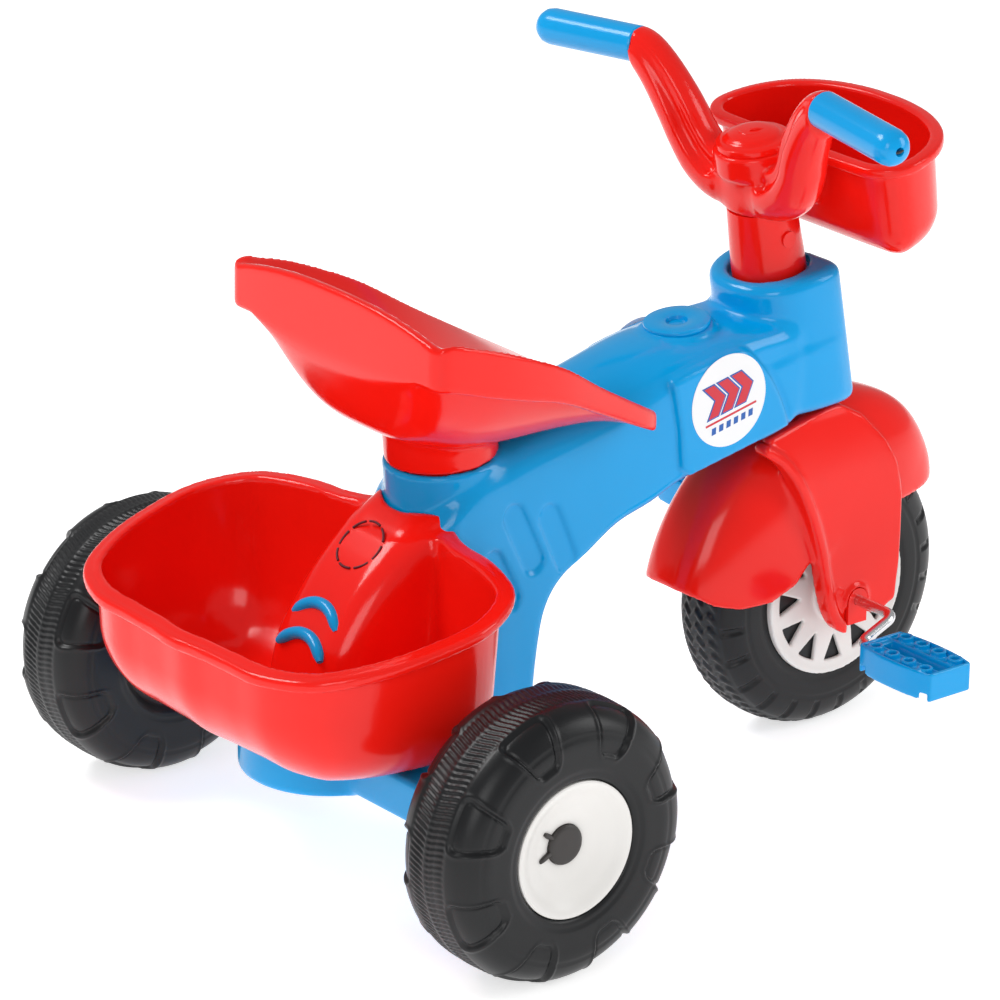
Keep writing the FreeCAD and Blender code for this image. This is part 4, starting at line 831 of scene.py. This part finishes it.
# side outline of a leg, forked round the axle
LEG = [(-82, 140), (-78, 129), (-67, 117), (-54, 95), (-37, 48), (-26, 4), (-16, -16), (-8, -24), (0, -12),
       (9, -7), (14, -14), (24, -18), (33, -12), (40, -9), (43, 20), (43.6, 44), (43.2, 73), (39.5, 98),
       (30, 116), (10, 139), (-10, 150), (-60, 150)]
leg_line = outline(x[:, 0, :], z[0, :, :], LEG)[:, None, :]
thin = 12 * np.clip((z - 74) / 70, 0, 1) ** 1.5
leg = slab(leg_line, np.abs(np.abs(y) - 49.5 + thin) - 4.6, 2.2)
spine_back = curve([(-84, 131), (-68, 118), (-54, 95), (-37, 48), (-26, 4), (-15, -17), (0, -23)], False, 4)
back_rib = nearest(segment(x, z, a, b) - 4.2 for a, b in zip(spine_back, spine_back[1:]))
back_rib = slab(back_rib, np.abs(np.abs(y) - 50 + thin) - 7.0, 2.2)
notch = slab(np.sqrt(x * x + z * z) - 11.5, np.abs(np.abs(y) - 51) - 5.6, 1.0)
crown = slab(np.sqrt(u * u + y * y) - 35, np.abs(w - 137) - 14, 3)
field = join(shell, leg, 12)
field = join(field, back_rib, 3)
field = join(field, notch, 3)
field = join(field, crown, 6)
field = meet(field, w - 151, 1)
field = meet(field, -slab(np.sqrt(x * x + z * z) - 111.6, np.abs(y) - 33.5, 23), 1.5)
gap = np.maximum(np.abs(x) - 9.2, z)
field = meet(field, -np.minimum(np.sqrt(x * x + z * z) - 9.2, np.maximum(gap, -z - 60)), 0.8)
moulded("fork_arch", field, grid, FRONT, "steering", RED, ["fork"])

# ------------------------------------------------------------------ handlebar
u, v, w, grid = axes((-48, -112, 305), (32, 112, 432), 1.7)
# handlebar arm: u, v, w, radius
ARM = [(-2, 8, 322, 18), (-6, 27, 324, 20), (-7, 45, 333, 19.6), (-8, 57, 349, 18.6), (-9.5, 66, 369, 18),
       (-11, 80, 392, 16.4), (-12.5, 93, 406.5, 15.2), (-14.5, 103.7, 411, 14.4)]
arm_path = curve([row[:3] for row in ARM], False, 4)
arm_size = curve([(row[3], 0) for row in ARM], False, 4)[:, 0]
av = np.abs(v)
arms = nearest(rod(u, av, w, p, q, rp, rq)
               for p, q, rp, rq in zip(arm_path, arm_path[1:], arm_size, arm_size[1:]))
GROOVE_SHIFT = np.array((-14.5, -8.5, 9.0))
groove = nearest(rod(u, av, w, p + GROOVE_SHIFT, q + GROOVE_SHIFT, 5.5, 5.5)
                 for p, q in zip(arm_path[6:-2], arm_path[7:-1]))
arms = meet(arms, -groove, 4)
hub = drum(u, v, w, 307.3, 350, 25, 1.0)
collar = drum(u, v, w, 335, 354, 29.6, 2.6)
field = join(join(hub, arms, 8), collar, 3)
field = meet(field, 307.3 - w, 1)
grip_start = np.array(ARM[-1][:3], float)
grip_end = np.array((-28.5, 192.6, 409.3))
grip_dir = (grip_end - grip_start) / np.linalg.norm(grip_end - grip_start)
ahead = ((u - grip_start[0]) * grip_dir[0] + (av - grip_start[1]) * grip_dir[1]
         + (w - grip_start[2]) * grip_dir[2])
field = meet(field, np.where(av > 60, ahead + 5.0, -50), 1.5)
moulded("handlebar_shell", field, grid, STEER, "steering", RED, ["handlebar"])
turned("bar_cap", dense([(352, 0.3), (352, 26), (356.0, 27.2), (358.2, 26.6), (359.4, 24.6), (360.0, 21),
                         (362.6, 18.5), (364.6, 12), (365.2, 5), (365.4, 0.3)], 3),
       at(STEER, (0, 0, 0), basis((0, 0, 1))), "steering", RED, ["handlebar_cap"], 72)
latch = [(9 * math.cos(t), 9 * math.sin(t), 363.9 + 0.6 * math.cos(t * 0.5))
         for t in np.linspace(2.4, 5.6, 13)] + [(1, -4, 365.6), (-3, -1, 365.9)]
swept("cap_latch", latch, ends(1.5, 15), STEER, "steering", RED, (), 12)
for side, sign in (("left", 1), ("right", -1)):
    start = grip_start * (1, sign, 1)
    direction = grip_dir * (1, sign, 1)
    length = 89.0
    profile = [(-5.6, 8), (-5.6, 12.7), (-4.6, 13.5), (length - 12, 13.5), (length - 7, 12.6),
               (length - 3, 10.0), (length - 0.8, 6.0), (length, 3.4), (length - 1.2, 2.7),
               (length - 9, 2.6), (length - 9, 0.3), (length - 12, 0.3), (length - 12, 8)]
    turned("grip_sleeve_" + side, dense(profile, 3), at(STEER, start, basis(direction)), "steering", BLUE,
           ["grip_" + side], 64)
    place = at(STEER, start, basis(direction))
    # dark bar across the grip end: painted shade standing in for a slot
    swept("grip_slot_" + side, [(-4.4, length - 1.1, 0), (0, length - 0.2, 0), (4.4, length - 1.1, 0)],
          [0.7, 1.0, 0.7], place, "steering", SLOT_SHADE_BLACK, (), 10)

# ------------------------------------------------------------------ front basket
u, v, w, grid = axes((24, -106, 258), (136, 106, 346), 1.8)
# half plan of the basket
BASKET_HALF = [(37, 0), (37, 66), (40, 84), (50, 95), (64, 97), (86, 90), (105, 74), (118, 49), (124, 22),
               (125, 0)]
plan = outline(u[:, :, 0], v[:, :, 0], mirrored(BASKET_HALF))[:, :, None]
drop = 343 - w
outer = slab(plan + 0.05 * np.maximum(drop, 0), 263.5 - w, 24)
shell = np.maximum(np.maximum(outer, -(outer + 3.4)), w - 342.8)
rim_ring = slab(slab(plan - 6.6, -plan - 2.6, 3), np.abs(w - 339) - 4.2, 2.4)
field = join(shell, rim_ring, 2.5)
mount = block(u, v, w, (24.9, -17, 296), (46, 17, 336), 2)
mount2 = block(u, v, w, (28, -26, 336), (42, 26, 343), 2)
field = join(field, np.maximum(mount, -(outer + 3.4)), 3)
field = join(field, mount2, 2)
field = meet(field, 30.2 - np.sqrt(u * u + v * v), 1)
moulded("basket_shell", field, grid, STEER, "steering", RED, ["front_basket"])


# ------------------------------------------------------------------ side badges
def plate(name, points, depth, place, material, replaces=()):
    """Thin flat shape with square edges; points anticlockwise seen from outside."""
    n = len(points)
    verts = [(a, b, 0) for a, b in points] + [(a, b, depth) for a, b in points]
    faces = [list(range(n))[::-1], list(range(n, 2 * n))]
    faces += [[i, (i + 1) % n, n + (i + 1) % n, n + i] for i in range(n)]
    return piece(name, verts, faces, place, "frame", material, replaces, 30.0)


def grown(points, by):
    """Outline moved outward by a distance."""
    p = np.array(points, float)
    before, after = p - np.roll(p, 1, 0), np.roll(p, -1, 0) - p
    n1 = np.stack([before[:, 1], -before[:, 0]], 1) / np.linalg.norm(before, axis=1)[:, None]
    n2 = np.stack([after[:, 1], -after[:, 0]], 1) / np.linalg.norm(after, axis=1)[:, None]
    mid = n1 + n2
    return p + by * 2 * mid / np.maximum((mid ** 2).sum(1), 0.5)[:, None]


for side, sign in (("left", 1), ("right", -1)):
    out = Vector((0, sign, 0))
    tip = math.radians(12)
    right_x = -sign
    a_dir = Vector((right_x * math.cos(tip), 0, math.sin(tip)))
    b_dir = out.cross(a_dir)
    origin = (rear_x + 0.309, sign * 0.0490, 0.2895)
    base = columns(origin, a_dir, b_dir, out)
    circle = [(34.5 * math.cos(t), 34.5 * math.sin(t)) for t in np.arange(72) * math.pi / 36]
    plate("badge_disc_" + side, circle, 0.35, base, FILM, ["badge_" + side])
    for k in range(3):
        c = -15.5 + 13.0 * k
        chevron = [(c - 5, -7), (c + 4, -7), (c + 12.5, 5), (c + 4, 17), (c - 5, 17), (c + 3.5, 5)]
        plate("badge_edge_%s_%d" % (side, k), grown(chevron, 1.1).tolist(), 0.5, base, INK_BLUE)
        plate("badge_mark_%s_%d" % (side, k), chevron, 0.65, base, INK_RED)
    plate("badge_rule_" + side, [(-24, -12.2), (24, -12.2), (24, -10.6), (-24, -10.6)], 0.5, base, INK_RED)
    for k in range(6):
        c = -17.5 + 7.0 * k
        plate("badge_dash_%s_%d" % (side, k), [(c - 2.5, -20), (c + 1.5, -20), (c + 2.7, -15),
                                               (c - 1.3, -15)], 0.5, base, INK_BLUE)

# ------------------------------------------------------------------ carried-over nodes
CARRIED = {"steering_column": RED, "column_pin": RED, "head_bush_upper": BLUE, "head_bush_lower": BLUE,
           "axle_spacers": BLACK, "crank_bush_left": RED, "crank_bush_right": RED, "crank_sleeve": BLACK,
           "rear_hub_bush_left": BLACK, "rear_hub_bush_right": BLACK, "basket_screws": STEEL}
for name, material in CARRIED.items():
    node = frame["nodes"][name]
    node.data.materials.clear()
    node.data.materials.append(material)

# ------------------------------------------------------------------ stage, light and camera
floor_mesh = bpy.data.meshes.new("floor")
sheet = bmesh.new()
near, far = -6.0, 12.0
corners = ((near, near), (far, near), (far, far), (near, far))
sheet.faces.new([sheet.verts.new((a, b, -0.0005)) for a, b in corners])
sheet.to_mesh(floor_mesh)
sheet.free()
floor = bpy.data.objects.new("floor", floor_mesh)
bpy.context.collection.objects.link(floor)
pale = bpy.data.materials.new("studio_white")
pale.use_nodes = True
shader = pale.node_tree.nodes["Principled BSDF"]
shader.inputs["Base Color"].default_value = (0.9, 0.9, 0.9, 1)
shader.inputs["Roughness"].default_value = 0.9
shader.inputs["Emission Color"].default_value = (1, 1, 1, 1)
shader.inputs["Emission Strength"].default_value = 0.62
floor_mesh.materials.append(pale)

world = bpy.data.worlds.new("studio")
world.use_nodes = True
world.node_tree.nodes["Background"].inputs["Color"].default_value = (1, 1, 1, 1)
world.node_tree.nodes["Background"].inputs["Strength"].default_value = 0.42
bpy.context.scene.world = world


def lamp(name, spot, aim, width, height, power):
    """Soft rectangular light."""
    light = bpy.data.lights.new(name, "AREA")
    light.shape = "RECTANGLE"
    light.size, light.size_y, light.energy = width, height, power
    obj = bpy.data.objects.new(name, light)
    bpy.context.collection.objects.link(obj)
    obj.location = spot
    obj.rotation_mode = "QUATERNION"
    obj.rotation_quaternion = (Vector(aim) - Vector(spot)).to_track_quat("-Z", "Y")


lamp("key", (-1.2, 1.4, 2.4), (0, 0, 0.2), 1.3, 0.9, 40)
lamp("fill", (-1.9, -1.7, 1.3), (0, 0, 0.25), 1.1, 1.3, 17)
lamp("side", (1.6, -1.6, 1.2), (0, 0, 0.25), 0.9, 1.3, 16)

camera = bpy.data.cameras.new("camera")
camera.lens = 207.7
camera.sensor_width = 36
camera.clip_start, camera.clip_end = 0.1, 60
eye = bpy.data.objects.new("camera", camera)
bpy.context.collection.objects.link(eye)
yaw, pitch, roll = math.radians(50.63), math.radians(20.91), 0.018
ahead = Vector((math.cos(pitch) * math.cos(yaw), math.cos(pitch) * math.sin(yaw), -math.sin(pitch)))
level_right = Vector((math.sin(yaw), -math.cos(yaw), 0))
above = level_right.cross(ahead)
right = level_right * math.cos(roll) + above * math.sin(roll)
up = right.cross(ahead)
turn = Matrix((right, up, -ahead)).transposed().to_4x4()
eye.matrix_world = Matrix.Translation((rear_x - 2.2532, -2.9183, 1.67905)) @ turn
bpy.context.scene.camera = eye
bpy.context.scene.view_settings.view_transform = "Standard"
